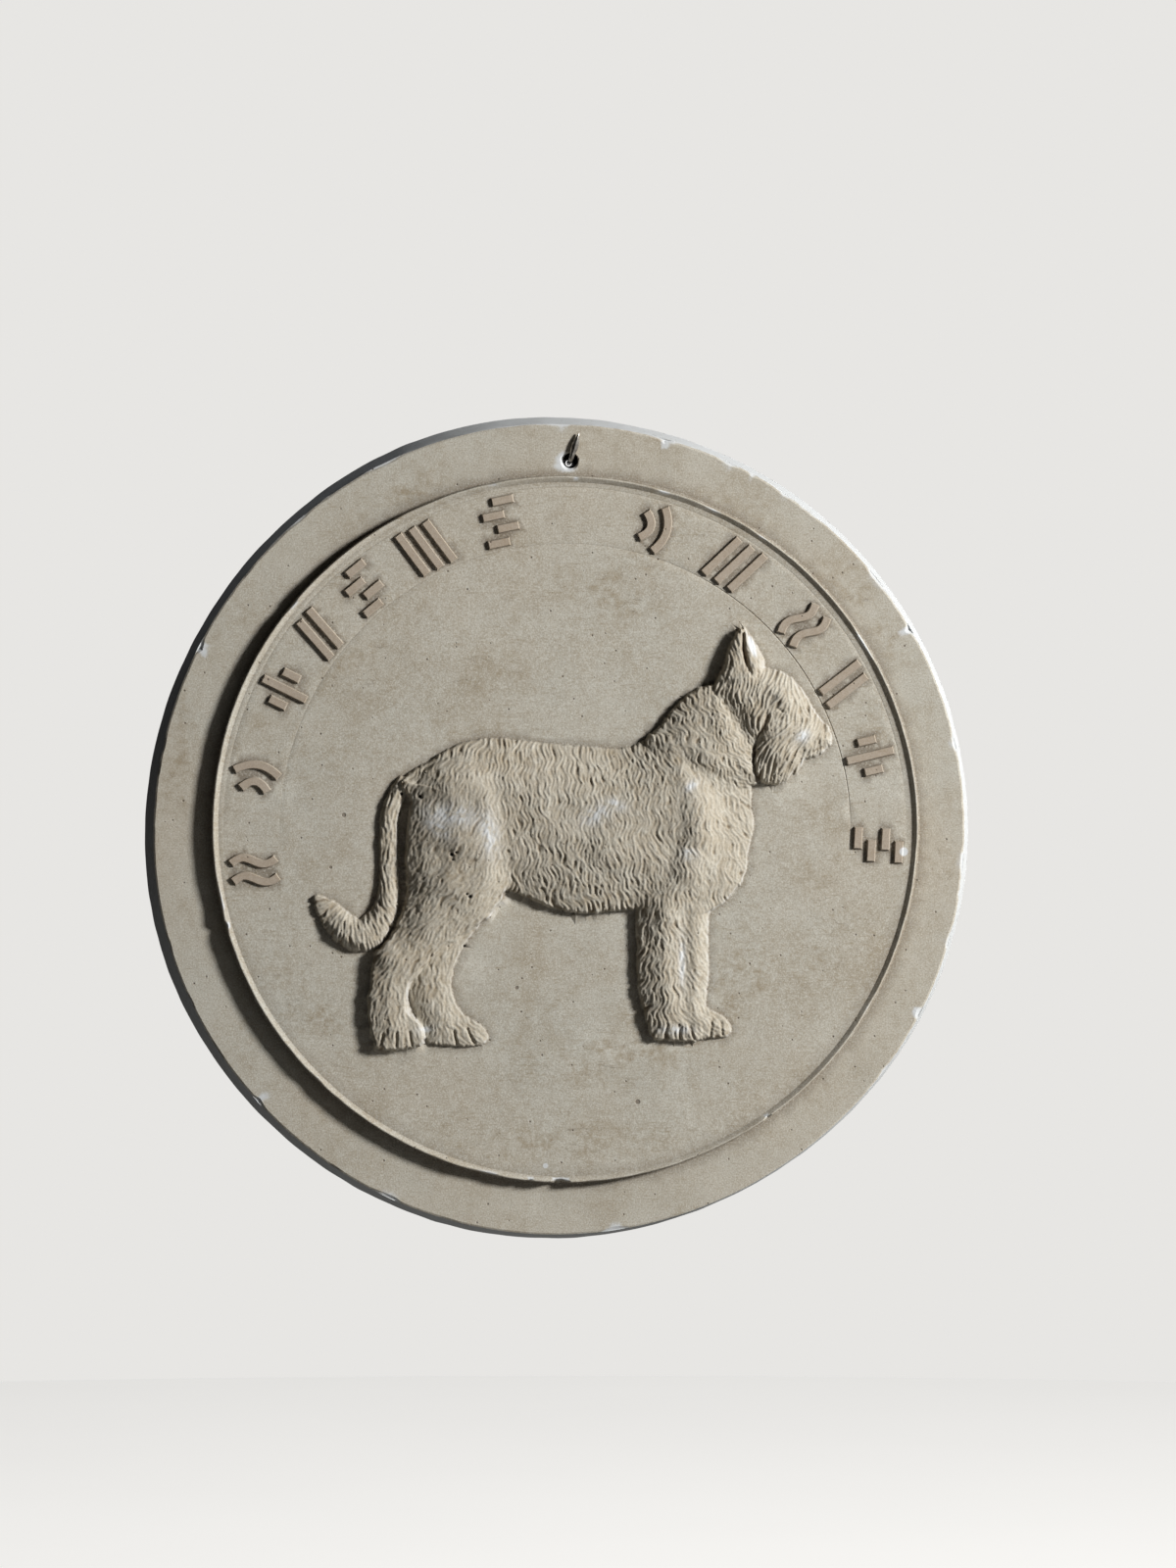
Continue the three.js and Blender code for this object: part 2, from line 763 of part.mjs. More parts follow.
// The nail runs through the hole, bends up in front of the ring and ends in a flat leaf with a
// point. Its stations follow one plane, each with its place along the bore (out), its place
// along the leaf (up), the turn of its section and its half width and half thickness.
function nailStations() {
  const leafOut = ringThickness + nailFaceGap + leafHalfThickness;
  const bendStart = leafOut - nailBendRadius;
  const leafLength = Math.hypot(nailRise, nailLean) - nailBendRadius;
  const stations = [{ out: nailRecess, up: 0, turn: 0, wide: nailRadius, thick: nailRadius }];
  for (let i = 0; i <= curveSteps; i++) {
    const share = i / curveSteps;
    const turn = (share * Math.PI) / 2;
    stations.push({
      out: bendStart + nailBendRadius * Math.sin(turn),
      up: nailBendRadius * (1 - Math.cos(turn)),
      turn,
      wide: nailRadius,
      thick: nailRadius + (leafHalfThickness - nailRadius) * share,
    });
  }
  for (let i = 1; i <= curveSteps; i++) {
    const share = i / curveSteps;
    const swell = nailRadius + (leafHalfWidth - nailRadius) * Math.sin(share * Math.PI);
    stations.push({
      out: leafOut,
      up: nailBendRadius + leafLength * share,
      turn: Math.PI / 2,
      wide: swell + (tipRadius - swell) * share ** 3,
      thick: leafHalfThickness + (tipRadius - leafHalfThickness) * share ** 3,
    });
  }
  return stations;
}

function hangingNail() {
  const lean = Math.atan2(nailLean, nailRise);
  const positions = [];
  const index = [];
  const stations = nailStations();
  stations.forEach(({ out, up, turn, wide, thick }) => {
    for (let side = 0; side < nailSides; side++) {
      const angle = (side / nailSides) * 2 * Math.PI;
      const across = wide * Math.cos(angle);
      const through = thick * Math.sin(angle);
      const along = up + through * Math.cos(turn);
      const forward = out - through * Math.sin(turn);
      positions.push(
        across * Math.cos(lean) + along * Math.sin(lean),
        -forward,
        along * Math.cos(lean) - across * Math.sin(lean),
      );
    }
  });
  for (let ring = 0; ring + 1 < stations.length; ring++) {
    for (let side = 0; side < nailSides; side++) {
      const next = (side + 1) % nailSides;
      const [a, b] = [ring * nailSides + side, ring * nailSides + next];
      index.push(a, b + nailSides, a + nailSides, a, b, b + nailSides);
    }
  }
  const last = (stations.length - 1) * nailSides;
  for (let side = 2; side < nailSides; side++) {
    index.push(0, side, side - 1);
    index.push(last, last + side - 1, last + side);
  }
  const geometry = new THREE.BufferGeometry();
  geometry.setAttribute("position", new THREE.Float32BufferAttribute(positions, 3));
  geometry.setIndex(index);
  geometry.computeVertexNormals();
  const steel = new THREE.MeshStandardMaterial({ color: 0x8d8a84, roughness: 0.35, metalness: 1 });
  const mesh = new THREE.Mesh(shifted(geometry, holeShift), steel);
  mesh.name = "hanging_nail";
  return mesh;
}

const plaque = new THREE.Group();
plaque.add(plasterPlaque(), hangingNail());
plaque.position.set(-holeShift[0], 0, -holeShift[1]);

export default plaque;
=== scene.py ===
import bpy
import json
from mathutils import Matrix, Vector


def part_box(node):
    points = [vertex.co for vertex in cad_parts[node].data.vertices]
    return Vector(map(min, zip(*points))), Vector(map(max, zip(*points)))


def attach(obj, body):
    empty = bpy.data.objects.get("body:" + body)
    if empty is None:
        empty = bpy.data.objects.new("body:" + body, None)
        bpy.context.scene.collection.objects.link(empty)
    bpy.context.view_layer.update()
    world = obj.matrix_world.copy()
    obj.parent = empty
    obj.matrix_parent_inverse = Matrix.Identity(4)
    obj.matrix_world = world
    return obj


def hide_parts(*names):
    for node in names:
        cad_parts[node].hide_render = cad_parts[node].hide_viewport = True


bl_info = {
    "name": "Plaster wall plaque",
    "version": (1, 0, 0),
    "blender": (4, 5, 0),
    "location": "View3D > Sidebar > Plaque",
    "description": "Builds a round plaster wall plaque with a dog in relief, and its nail",
    "category": "Add Mesh",
}

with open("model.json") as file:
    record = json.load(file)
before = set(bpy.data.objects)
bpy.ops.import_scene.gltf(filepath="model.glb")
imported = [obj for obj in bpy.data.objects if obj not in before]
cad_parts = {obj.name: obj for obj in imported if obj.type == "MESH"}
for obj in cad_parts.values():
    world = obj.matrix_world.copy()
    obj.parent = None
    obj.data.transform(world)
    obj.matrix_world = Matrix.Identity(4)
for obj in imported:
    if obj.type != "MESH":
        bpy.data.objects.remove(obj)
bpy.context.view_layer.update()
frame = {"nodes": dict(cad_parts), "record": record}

import functools
import json
import math

import bmesh
import bpy
import numpy as np
from mathutils import Vector
from mathutils.geometry import delaunay_2d_cdt

MM = 0.001
DEGREE = math.pi / 180
SEED = 7

# Places are worked out in millimetres about the ring's centre: u to the right, v up, and h the
# height above the flat back. The ring's centre is where the back mount stands.
MOUNTS = {mount["name"]: mount for mount in frame["record"]["mounts"]}
CENTRE = MOUNTS["back"]["pos_m"]
HOLE_UV = (-CENTRE[0] / MM, -CENTRE[2] / MM)
CASTING_LOW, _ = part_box("plaster_plaque")

# Plain casting. Swells of the rim: angle, width in degrees and height.
RING_RADIUS = 155.0
RING_THICKNESS = 20.0
RIM_FLARE = 3.5
RIM_SWELLS = ((107, 22, 1.6), (195, 25, 1.5), (298, 30, -2.2))
RIM_EASE = 0.3
SIDE_SHARES = (0.03, 0.35, 0.7, 0.97, 1.0)
SIDE_WAVE, SIDE_WAVE_SIZE = 0.15, 6
RING_WIDTH = 20.2
DISC_SHIFT = (1.8, 0.7)
DISC_WAVES = ((3, 0.12, 0), (7, 0.1, 1))
STEP_HEIGHT = 5.0
STEP_LEAN = 0.5
CREST_WIDTH = 0.5
BEVEL_WIDTH = 1.7
BEVEL_DROP = 1.3
DISC_RADIUS = RING_RADIUS - RING_WIDTH
FIELD_RADIUS = DISC_RADIUS - CREST_WIDTH - BEVEL_WIDTH
STEP_TOP = RING_THICKNESS + STEP_HEIGHT
FIELD_HEIGHT = STEP_TOP - BEVEL_DROP

# Hanging hole, and how much of the bare plaster shows on the side wall and the back
HOLE_RADIUS = 3.0
HOLE_BACK_RADIUS = 1.2
HOLE_WHOLE_SIDE = 30
HOLE_BREAK, HOLE_BREAK_DEPTH = 0.85, 0.7
HOLE_WAVES = ((5, 0.12, 0), (9, 0.08, 0))
BORE_SHARES = (0.1, 0.15, 0.5, 0.98, 1.0)
SIDE_BARE = 0.7
BACK_BARE = 0.45

# Fine wear of round edges: two rough waves, and bites where a slower wave is high
EDGE_ROUGH, EDGE_ROUGH_SIZES = 0.5, (1.6, 4)
BITE_SIZE, BITE_LEVEL, BITE_DEPTH = 7, 0.35, 2.2

# Chips of the crest and of the ring's edge: angle, half width in degrees and depth
CREST_CHIPS = ((269, 1.6, 2.2), (264.5, 0.5, 1.1), (305, 0.6, 1), (88, 0.5, 0.9), (196, 0.8, 0.9))
RING_CHIPS = (
    (153, 0.7, 1.5), (222, 0.6, 1.2), (30, 0.8, 1.8), (62, 0.5, 1), (75, 0.6, 1.2),
    (333, 0.7, 1.4),
)
CREST_WEAR = 0.4
RING_WEAR = 0.55

# Raised strokes and the fine incised arcs beside them
BAND_OUTER = FIELD_RADIUS - 2.0
BAND_DEPTH = 21.6
BAND_INNER = BAND_OUTER - BAND_DEPTH
BAND_START = -12.0
BAND_END = 196.0
STROKE_WIDTH = 3.6
STROKE_GAP = 2.2
STROKE_HEIGHT = 1.2
STROKE_LEAN = 0.5
STROKE_SWAY = 1.7
STROKE_STEP = 1.6
STROKE_REACH = BAND_DEPTH / 2 - 1.4
CURVE_REACH = 0.94 * STROKE_REACH
STROKE_SPACING = STROKE_WIDTH + STROKE_GAP
INCISED_WIDTH = 0.7
INCISED_DEPTH = 0.22
INCISED_STEPS = 220
INCISED_FADES = (30, 40)
OUTER_SHARE, INNER_SHARE, RIGHT_SHARE = 0.4, 0.35, 0.65
RIGHT_END, RIGHT_FADE = 85, 50

# Sampling of the front. The face lies above and to the right of its corner.
ROUND_STEPS = 432
HOLE_STEPS = 32
FIELD_PITCH = 3.6
FIELD_SHAKE = 0.3
COAT_PITCH = 0.458
FACE_PITCH = 0.36
FACE_CORNER = (57, 17)
MAP_PITCH = 0.25
MAP_MARGIN = 4
OUTLINE_STEP = 1.2
CURVE_STEPS = 12
PLACES_AT_ONCE = 8000
NOISE_CELLS = 256
JOIN_DISTANCE = 1e-6

# Strips kept clear of even points beside fixed lines: on the plain field, then round the dog
STEP_STRIP = 3.4
RIM_STRIP = 4.0
HOLE_STRIP = 2.6
STROKE_STRIP = 0.7
ARC_STRIP = 0.9
DOG_STRIP = 2.2
COAT_MARGIN = 1.3
COAT_STROKE_STRIP = 0.3
COAT_ARC_STRIP = 0.6

# How forms meet: the width of the blend, how far one covers another, and the lean of outer walls
BLEND = 2.2
OVERLAP = 1.2
WALL_LEAN = 0.34

# Locks of the coat. Spacing is in shares of their width and length, turns are in radians, and
# drifts are slow changes over places: size of the change and size of its waves in mm.
LOCK_ACROSS, LOCK_ALONG = 0.74, 0.3
LOCK_LENGTHS, LOCK_WIDTHS, LOCK_LIFTS = (0.7, 1.15), (0.8, 1.2), (0.7, 1)
LOCK_ORDER_SHAKE = 1.5
TURN_SHAKE, TURN_DRIFT = 0.07, (0.24, 9)
PHASE_SHAKE, PHASE_DRIFT = 0.25, (4.5, 12)
RIDGE_POWER = 2.6
ROOT_LIFT, TIP_LIFT = 0.85, 0.3
UNDERLAP = 0.25
LOCK_MIDDLE, LOCK_RISE = 0.75, 1.35
EDGE_LOCKS, EDGE_DRIFT = 0.6, (0.3, 2.2)
CROWN_DRIFT = (0.35, 9)
CAST_DRIFTS = ((0.1, 22), (0.035, 7))
FULL_LOCK_RISE, LEAST_RISE = 2.5, 0.25

# Finish: depth of pits, height at which the coat begins, how a fall to the right paints an
# edge pale as a highlight and how far in, how far soil with painted shade reaches from the dog
# and the step, sharp creases and the darkest colours, the first of them the painted shade of
# the pits and the bore
PIT_DEPTH = 0.7
COAT_RISE, COATED = 1.2, 0.02
FALL_STEP, FALL_START, FALL_RANGE = 0.6, 0.7, 1.4
EDGE_HIGHLIGHT, EDGE_HIGHLIGHT_REACH = 0.55, 1.6
DOG_SOIL_AND_SHADE_REACH, STEP_SOIL_AND_SHADE, STEP_SOIL_AND_SHADE_REACH = 1.8, 0.5, 3
PLAIN_CREASE, COAT_CREASE = 22 * DEGREE, 75 * DEGREE
PLASTER_TINTS = ("plaster", "warm", "wash", "soil", "high", "bare", "stroke")
PIT_SHADE_COLOUR = (0.012, 0.009, 0.006, 1)
DARK_STEEL = (0.16, 0.14, 0.12, 1)

# Stage, in metres: the floor below the casting, where the camera aims, and the walls
FLOOR_DROP = 0.3
FLOOR_GLOW = 0.72
FLOOR_RADIUS = 2.4
AIM = (10.4 * MM, 17.8 * MM)
KEY_DISTANCE = 2.6
WALL_COLOUR = (0.8, 0.79, 0.77, 1)
WORLD_COLOUR = (0.9, 0.95, 1, 1)
WORLD_LIGHT = 0.002

# The dog's forms. outline: the leading points of a closed smooth outline. heights: [u, v, height
# above the field] at a few places. edges: heights of the edge where it faces left, right, up
# and down. reach: how far the rounding runs in from the edge. flow: [u, v, the way the locks
# point in degrees] at a few places. lock: width, length, sway, length of a wave and depth of the
# locks. cuts: grooves along a line of points, with their half width and depth. swells: [u, v,
# radius, height] of round swellings and dips.
DOG_FORMS = {
    "far_hind_leg": dict(
        outline=(
            (-27, -28), (-31, -35), (-36, -41.5), (-39.5, -47.5), (-41.6, -53), (-42.2, -59),
            (-40.6, -65.5), (-37.5, -70.2), (-33, -73), (-29.6, -76), (-27.9, -79.4),
            (-31, -81.2), (-41, -81.6), (-50, -80.6), (-53.6, -75), (-56.4, -67), (-58.4, -58),
            (-52, -42), (-40, -30),
        ),
        heights=((-36, -36, 2.4), (-46, -54, 2.6), (-44, -70, 3), (-34, -77, 2.8)),
        edges=(0.8, 1, 1.4, 2.2), reach=7,
        flow=((-36, -36, -118), (-46, -50, -112), (-50, -62, -100), (-44, -60, -78),
              (-48, -74, -95), (-38, -77, -50), (-31, -78, -30)),
        lock=(1.7, 6.5, 0.4, 7, 0.6),
        cuts=((((-41, -76.5), (-40, -81.4)), 0.5, 0.9), (((-36, -75.5), (-33.4, -81)), 0.5, 0.9)),
    ),
    "far_foreleg": dict(
        outline=(
            (46, -24), (57, -27), (56.2, -33), (55.9, -45), (56.1, -55), (55.3, -63),
            (55.2, -68), (59, -69.6), (62.6, -72), (64.9, -75.8), (63.6, -78), (57, -78.8),
            (50, -79.2), (46.5, -70), (45.5, -50),
        ),
        heights=((50, -30, 5), (51, -55, 4.3), (52, -70, 4.4), (61, -75, 3)),
        edges=(2.4, 1.2, 1.4, 2.4), reach=6,
        flow=((52, -30, -80), (52, -50, -72), (54, -64, -70), (57, -73, -40), (62, -75, -30)),
        lock=(1.7, 6.5, 0.4, 7, 0.6),
        cuts=((((57.5, -72.5), (57, -78.6)), 0.5, 0.8), (((61, -73), (61.6, -78)), 0.5, 0.8)),
    ),
    "tail": dict(
        outline=(
            (-55.5, 19.5), (-59.5, 14), (-62.2, 6), (-62.6, -6), (-62.5, -18), (-62.6, -29),
            (-64.6, -36), (-68, -41.6), (-73, -45), (-79.4, -45.4), (-85.4, -41.8),
            (-89.8, -37), (-92.6, -31.2), (-94.3, -25.2), (-89.4, -26), (-84.8, -28.6),
            (-80.6, -32.4), (-77, -33.8), (-73.6, -31.6), (-70.4, -27), (-69, -18), (-69, -4),
            (-68.4, 7), (-65.6, 14.5), (-61, 20.5),
        ),
        heights=((-62, 14, 3), (-66, -10, 2.4), (-68, -34, 3.8), (-80, -39, 4.4), (-92, -28, 2.6)),
        edges=(1.8, 1.4, 1.8, 2.4), reach=3.4,
        flow=((-61, 14, -100), (-65, 0, -96), (-66, -18, -88), (-66, -32, -58), (-71, -39, -66),
              (-77, -40, -84), (-83, -37, -108), (-88, -32, -134), (-92, -28, -160)),
        lock=(1.75, 8, 0.12, 9, 0.85),
    ),
    "trunk": dict(
        outline=(
            (-60.5, 18.5), (-56, 22.8), (-50, 26.3), (-45, 29.5), (-40, 32.2), (-34, 34.2),
            (-25, 35), (-12, 33.8), (0, 32.6), (12, 31.6), (25, 31.2), (33, 34.6), (42, 40),
            (60, 34), (72, 22), (72.2, 12), (73.2, 2), (71.3, -7), (69.4, -18), (64.6, -24),
            (57, -30), (44, -32), (30, -29.6), (20, -30), (11, -30.8), (0, -29.5), (-10, -26),
            (-20.5, -22.3), (-36, -24), (-52, -22), (-58.4, -14), (-58.8, -6), (-57.6, 5),
            (-56.6, 11),
        ),
        heights=(
            (-45, 12, 8.4), (-24, 14, 8.6), (0, 4, 9.2), (18, -6, 9.6), (14, -20, 8),
            (-10, -14, 8), (45, 10, 9.6), (62, -4, 7.2), (66, 12, 6.4),
        ),
        edges=(4, 1.2, 1.4, 3.6), reach=21,
        flow=((-50, 21, -128), (-38, 29, -118), (-20, 30, -102), (0, 28, -90), (18, 27, -84),
              (33, 28, -78), (-22, 8, -96), (-5, 8, -88), (15, 8, -92), (30, 6, -100),
              (-15, -12, -86), (0, -18, -76), (14, -22, -62), (25, -22, -52), (30, -10, -78),
              (60, 22, -66), (68, 8, -58), (66, -6, -66), (62, -20, -84), (46, 32, -78)),
        lock=(1.65, 10, 0.75, 9.5, 0.75),
    ),
    "near_hind_leg": dict(
        outline=(
            (-52, 22), (-42, 27.5), (-31, 27), (-23.5, 20), (-19.6, 9), (-19, -4),
            (-19.6, -14), (-21.4, -21.6), (-25, -28), (-30.5, -34.4), (-39, -39.6),
            (-47.5, -45.4), (-53.4, -51.6), (-58.2, -57.6), (-59.9, -64), (-59.4, -69.4),
            (-55.6, -72.6), (-53.4, -77), (-53.8, -80.6), (-60, -82.4), (-70, -82.2),
            (-71.8, -77), (-72.9, -70), (-73.1, -64), (-72, -57.6), (-71.4, -52),
            (-70.4, -47.2), (-66.8, -43), (-63.2, -38.4), (-60.4, -32), (-58.3, -24),
            (-58.6, -10), (-57.8, 3), (-56.4, 13),
        ),
        heights=(
            (-38, 14, 9.6), (-36, -2, 10.8), (-40, -18, 9.6), (-50, 8, 7.6), (-50, -12, 7.4),
            (-48, -32, 7.6), (-62, -46, 6.4),
            (-66, -58, 5.8), (-66, -68, 5.6), (-60, -77, 5.2),
        ),
        edges=(4, 5, 4, 4.8), reach=11,
        swells=((-66, -47, 5, 1.2), (-62, -77, 4, 0.6)),
        flow=((-52, 14, -118), (-40, 22, -112), (-28, 20, -100), (-24, 4, -84), (-46, 4, -126),
              (-34, 0, -120), (-26, -12, -104), (-50, -14, -128), (-36, -18, -124),
              (-28, -28, -132), (-52, -34, -134), (-44, -36, -128), (-56, -46, -122),
              (-66, -46, -140), (-68, -58, -118), (-62, -60, -86), (-66, -70, -102),
              (-57, -76, -48), (-68, -79, -108), (-62, -79, -84)),
        lock=(1.65, 7, 0.45, 7.5, 0.6),
        cuts=((((-68, -77.5), (-68.8, -82)), 0.5, 0.9), (((-63, -77), (-63, -82.2)), 0.5, 0.9),
              (((-58, -76.6), (-57, -82)), 0.5, 0.9)),
    ),
    "near_foreleg": dict(
        outline=(
            (44, 30), (37.6, 24), (36.8, 15), (38.4, 8), (38.2, 0), (36.2, -8), (34.8, -15),
            (31.6, -20), (28.6, -25), (29.4, -32), (29.4, -42), (29.6, -52), (30.2, -61),
            (32, -68), (33.6, -74), (35.4, -78.6), (44, -79.6), (52.4, -79.2), (53.4, -75),
            (50.8, -70), (49.6, -62), (49.2, -50), (49.2, -38), (50.6, -30), (55, -25),
            (60.6, -15), (63.2, -1), (62, 12), (55, 24),
        ),
        heights=(
            (50, 18, 10), (52, 2, 10.8), (50, -12, 9.6), (44, -26, 7.4), (39.5, -45, 6.4),
            (40, -62, 6.2), (43, -74, 5.6),
        ),
        edges=(3, 3, 3, 3.6), reach=12,
        flow=((46, 26, -112), (42, 14, -112), (54, 20, -64), (60, 8, -52), (48, 6, -98),
              (42, -4, -104), (54, -6, -72), (60, -14, -64), (46, -16, -96), (36, -20, -122),
              (52, -24, -66), (33, -34, -120), (39, -34, -94), (46, -34, -70), (32, -52, -120),
              (39, -52, -92), (46, -52, -66), (33, -68, -118), (41, -68, -92), (48, -68, -60),
              (37, -77, -104), (50, -77, -60)),
        lock=(1.8, 9, 0.7, 8.5, 0.85),
        cuts=((((40.6, -74), (39.8, -79.4)), 0.5, 0.9), (((45, -74), (45.2, -79.6)), 0.5, 0.9),
              (((49.4, -74), (50.4, -79.2)), 0.5, 0.9)),
    ),
    "neck": dict(
        outline=(
            (33, 34.2), (38.6, 39.4), (41.4, 43.6), (45, 48), (48.4, 51.2), (52, 53.4),
            (56, 54.6), (61, 55), (68, 48), (74, 38), (76.4, 28), (74.6, 19), (67, 16),
            (55, 16), (44, 22),
        ),
        heights=((44, 36, 7.4), (53, 45, 6.8), (64, 40, 7.6), (69, 27, 7.6), (56, 24, 9.2)),
        edges=(3.4, 4, 3.6, 2.8), reach=13,
        flow=((40, 38, -58), (48, 46, -64), (57, 51, -76), (54, 36, -66), (62, 42, -56),
              (66, 32, -54), (72, 26, -50), (58, 24, -74), (68, 19, -48), (48, 28, -84)),
        lock=(1.6, 7, 0.8, 7, 0.75),
        cuts=((((60, 53), (63.4, 46.4), (67.4, 39), (70.6, 33)), 1.6, 0.5),
              (((74.4, 32), (74, 26), (75.4, 19)), 1.1, 2.0)),
    ),
    "head": dict(
        outline=(
            (59.2, 53.2), (60.4, 58), (63, 62.8), (68, 65.5), (74, 65), (78, 62), (84, 60.2),
            (88, 57.9), (91.4, 54.6), (94.3, 50), (96.6, 45.6), (99, 42.2), (101.4, 40),
            (103, 37.6), (103.2, 34.8), (101.4, 31.8), (97.8, 29.2), (88, 28), (77, 30),
            (70, 36), (64.5, 45),
        ),
        heights=(
            (70, 58, 7.4), (80, 54, 7.8), (84, 46, 8.2), (74, 42, 8.4), (93, 40, 7),
            (101, 35, 5.2),
        ),
        edges=(4.8, 1.6, 2.6, 3), reach=9,
        swells=((84.5, 50.6, 3.4, 1.1), (100, 35.6, 2.6, 0.9), (95, 31, 2.2, -0.8)),
        flow=((61.6, 57, -112), (62.6, 51, -82), (66, 46, -60), (67, 58, -98), (69, 50, -84),
              (71, 42, -72), (75, 56, -106), (76, 48, -112), (80, 56, -118), (83, 50, -128),
              (88, 54, -60), (91, 49, -56), (88, 46, -112), (94, 44, -120), (98, 40, -112),
              (101, 36, -90)),
        lock=(1.9, 11, 0.35, 12, 0.85),
        cuts=((((82.4, 46.3), (84, 45.5)), 0.5, 0.6),
              (((93, 30.9), (96, 30.4), (99.4, 31.8)), 0.7, 0.9),
              (((78.6, 43.6), (75.4, 36), (74.4, 31)), 0.9, 1.2),
              (((101.6, 37.2), (100.6, 35.9)), 0.5, 0.7)),
    ),
    "beard": dict(
        outline=(
            (79, 43.5), (85, 45), (92, 42.5), (97.5, 37), (98, 31.5), (93.4, 28.4),
            (90.6, 24.4), (87, 20.6), (82.4, 18.6), (77.8, 19.4), (75.2, 23), (74.8, 29),
            (76, 36),
        ),
        heights=((84, 40, 8.8), (82, 30, 9), (92, 34, 7.6), (81, 22, 7)),
        edges=(6.4, 3, 4, 4), reach=7,
        flow=((93, 41, -142), (86, 42, -134), (80, 40, -124), (84, 34, -114), (78, 30, -104),
              (80, 24, -100), (88, 32, -112), (86, 24, -116), (94, 35, -112), (96, 32, -96)),
        lock=(2.1, 17, 0.45, 20, 1.1),
    ),
    "ear": dict(
        outline=(
            (60.6, 57), (62.8, 62.4), (64.2, 68.4), (66.6, 73.2), (69.2, 76.9), (71.4, 75.4),
            (74, 71.2), (76.6, 66.6), (77.4, 62), (73.8, 56.4), (67, 54.5),
        ),
        heights=((66, 62, 6.8), (68.5, 70, 5.6), (70, 75.5, 4.8), (74, 68, 5.4), (74, 60, 7.4)),
        edges=(4.8, 1.6, 4, 3), reach=4,
        flow=((66, 70, -72), (65, 62, -84), (68, 58, -76), (73, 70, -88), (75, 62, -80)),
        lock=(1.7, 6.5, 0.2, 9, 0.7),
        cuts=((((69.4, 75), (69.4, 70), (70.2, 65), (71.2, 62), (73.6, 56.8)), 0.6, 2.2),),
    ),
}

# Places where the patina has worn off to the pale plaster: u, v, half length, half width, turn
WORN_PLACES = (
    (-42, 6, 11, 4, -6), (-28, -1, 3.6, 8, 8), (-47, 1, 6, 2.5, -30), (13, 6, 6, 3, 30),
    (20, 10, 4, 2, -20), (49, 17, 3, 1.5, 40), (48, -9, 3, 2, 0), (43, -76, 6, 1.6, 0),
    (46, -50, 1.2, 9, 0), (-52, -76, 3, 1.5, 0), (92, 36, 3, 2, 50),
)
# A painted highlight on the ear, laid on as bare plaster: u, v, half length, half width, turn
EAR_GLEAM = (72.7, 70.6, 1.5, 4.8, 17)

# Small pits, dented and painted near black as their shade: u, v, radius
PITS = (
    (-42, -9, 0.8), (-40.4, -8.2, 0.5), (-41.6, -11, 0.45), (-35, -25, 0.8), (-36.2, -24, 0.5),
    (-37, -44, 0.6), (-54, 13, 0.8), (-61, 14, 0.7), (29.2, -103.7, 0.7),
)

# Round pale chips and dark specks of the field: u, v, radius
PALE_MARKS = ((131.2, -8.1, 1.7), (-6, -128, 1))
DARK_MARKS = ((29.2, -103.7, 0.9), (-83, 6, 0.8), (-17, -60, 0.7), (-88, -14, 0.6), (70, 66, 0.7))

# Brown places of the coat, partly brown patina and partly painted shade, as on the tail stem
# and the thigh's left side where higher forms shade them: u, v, half length, half width, turn
COAT_STAINS_AND_SHADE = (
    (52, 45, 9, 8, 30), (62, 36, 7, 5, -50), (-65, -8, 6, 32, 0), (-58, 0, 5, 24, 0),
    (-40, -14, 10, 6, 40), (-56, -46, 9, 6, -40), (5, -24, 22, 6, -8), (-25, 26, 24, 6, -5),
    (30, 8, 4, 22, 0), (32, -40, 3, 30, 0), (-70, -60, 4, 16, 0), (-48, -60, 5, 14, 0),
    (72, 46, 5, 8, 20), (88, 24, 6, 4, 30), (22, 24, 8, 8, 0),
)

# Brown stains on the field and the ring: u, v, half length, half width, turn
STAINS = (
    (20, 91, 24, 11, 0), (26, -84, 30, 14, 10), (-10, -70, 9, 9, 0), (100, -30, 12, 26, 0),
    (-80, 62, 14, 10, 45), (0, -118, 40, 8, 0), (70, -60, 14, 10, 30), (-96, -70, 10, 16, 30),
    (-60, 128, 22, 7, 25), (120, 80, 10, 26, 55), (147, -10, 5, 24, 0), (-146, 20, 6, 20, 0),
    (-30, 60, 10, 6, 20), (60, 122, 16, 8, -20),
)


# Small helpers

def lattice_noise(u, v, size, seed):
    """Smooth noise from -1 to 1 over places in mm, with features of about the given size."""
    table = np.random.default_rng(seed).uniform(-1, 1, (NOISE_CELLS, NOISE_CELLS))
    x, y = u / size, v / size
    i, j = np.floor(x).astype(int), np.floor(y).astype(int)
    fx, fy = smooth_step(x - i), smooth_step(y - j)

    def pick(a, b):
        return table[a % NOISE_CELLS, b % NOISE_CELLS]

    low = pick(i, j) * (1 - fx) + pick(i + 1, j) * fx
    high = pick(i, j + 1) * (1 - fx) + pick(i + 1, j + 1) * fx
    return low * (1 - fy) + high * fy


def drift(u, v, size_and_wave, seed):
    """A slow change over places in mm, given as its size and the size of its waves."""
    size, wave = size_and_wave
    return size * lattice_noise(u, v, wave, seed)


def smooth_step(x):
    x = np.clip(x, 0, 1)
    return x * x * (3 - 2 * x)


def even_angles(count):
    return np.arange(count) * 360 / count


def polar(radius, angle):
    """Places from radii and angles in degrees, counted from the right and going up."""
    angle = np.asarray(angle) * DEGREE
    return np.stack([radius * np.cos(angle), radius * np.sin(angle)], axis=-1)


def waves(angles, rows):
    """A sum of waves round a circle, each given as its count, height and start."""
    return sum(height * np.sin(count * angles * DEGREE + start) for count, height, start in rows)


def angle_apart(angles, centre):
    """How many degrees lie between angles and a centre."""
    return np.abs((angles - centre + 540) % 360 - 180)


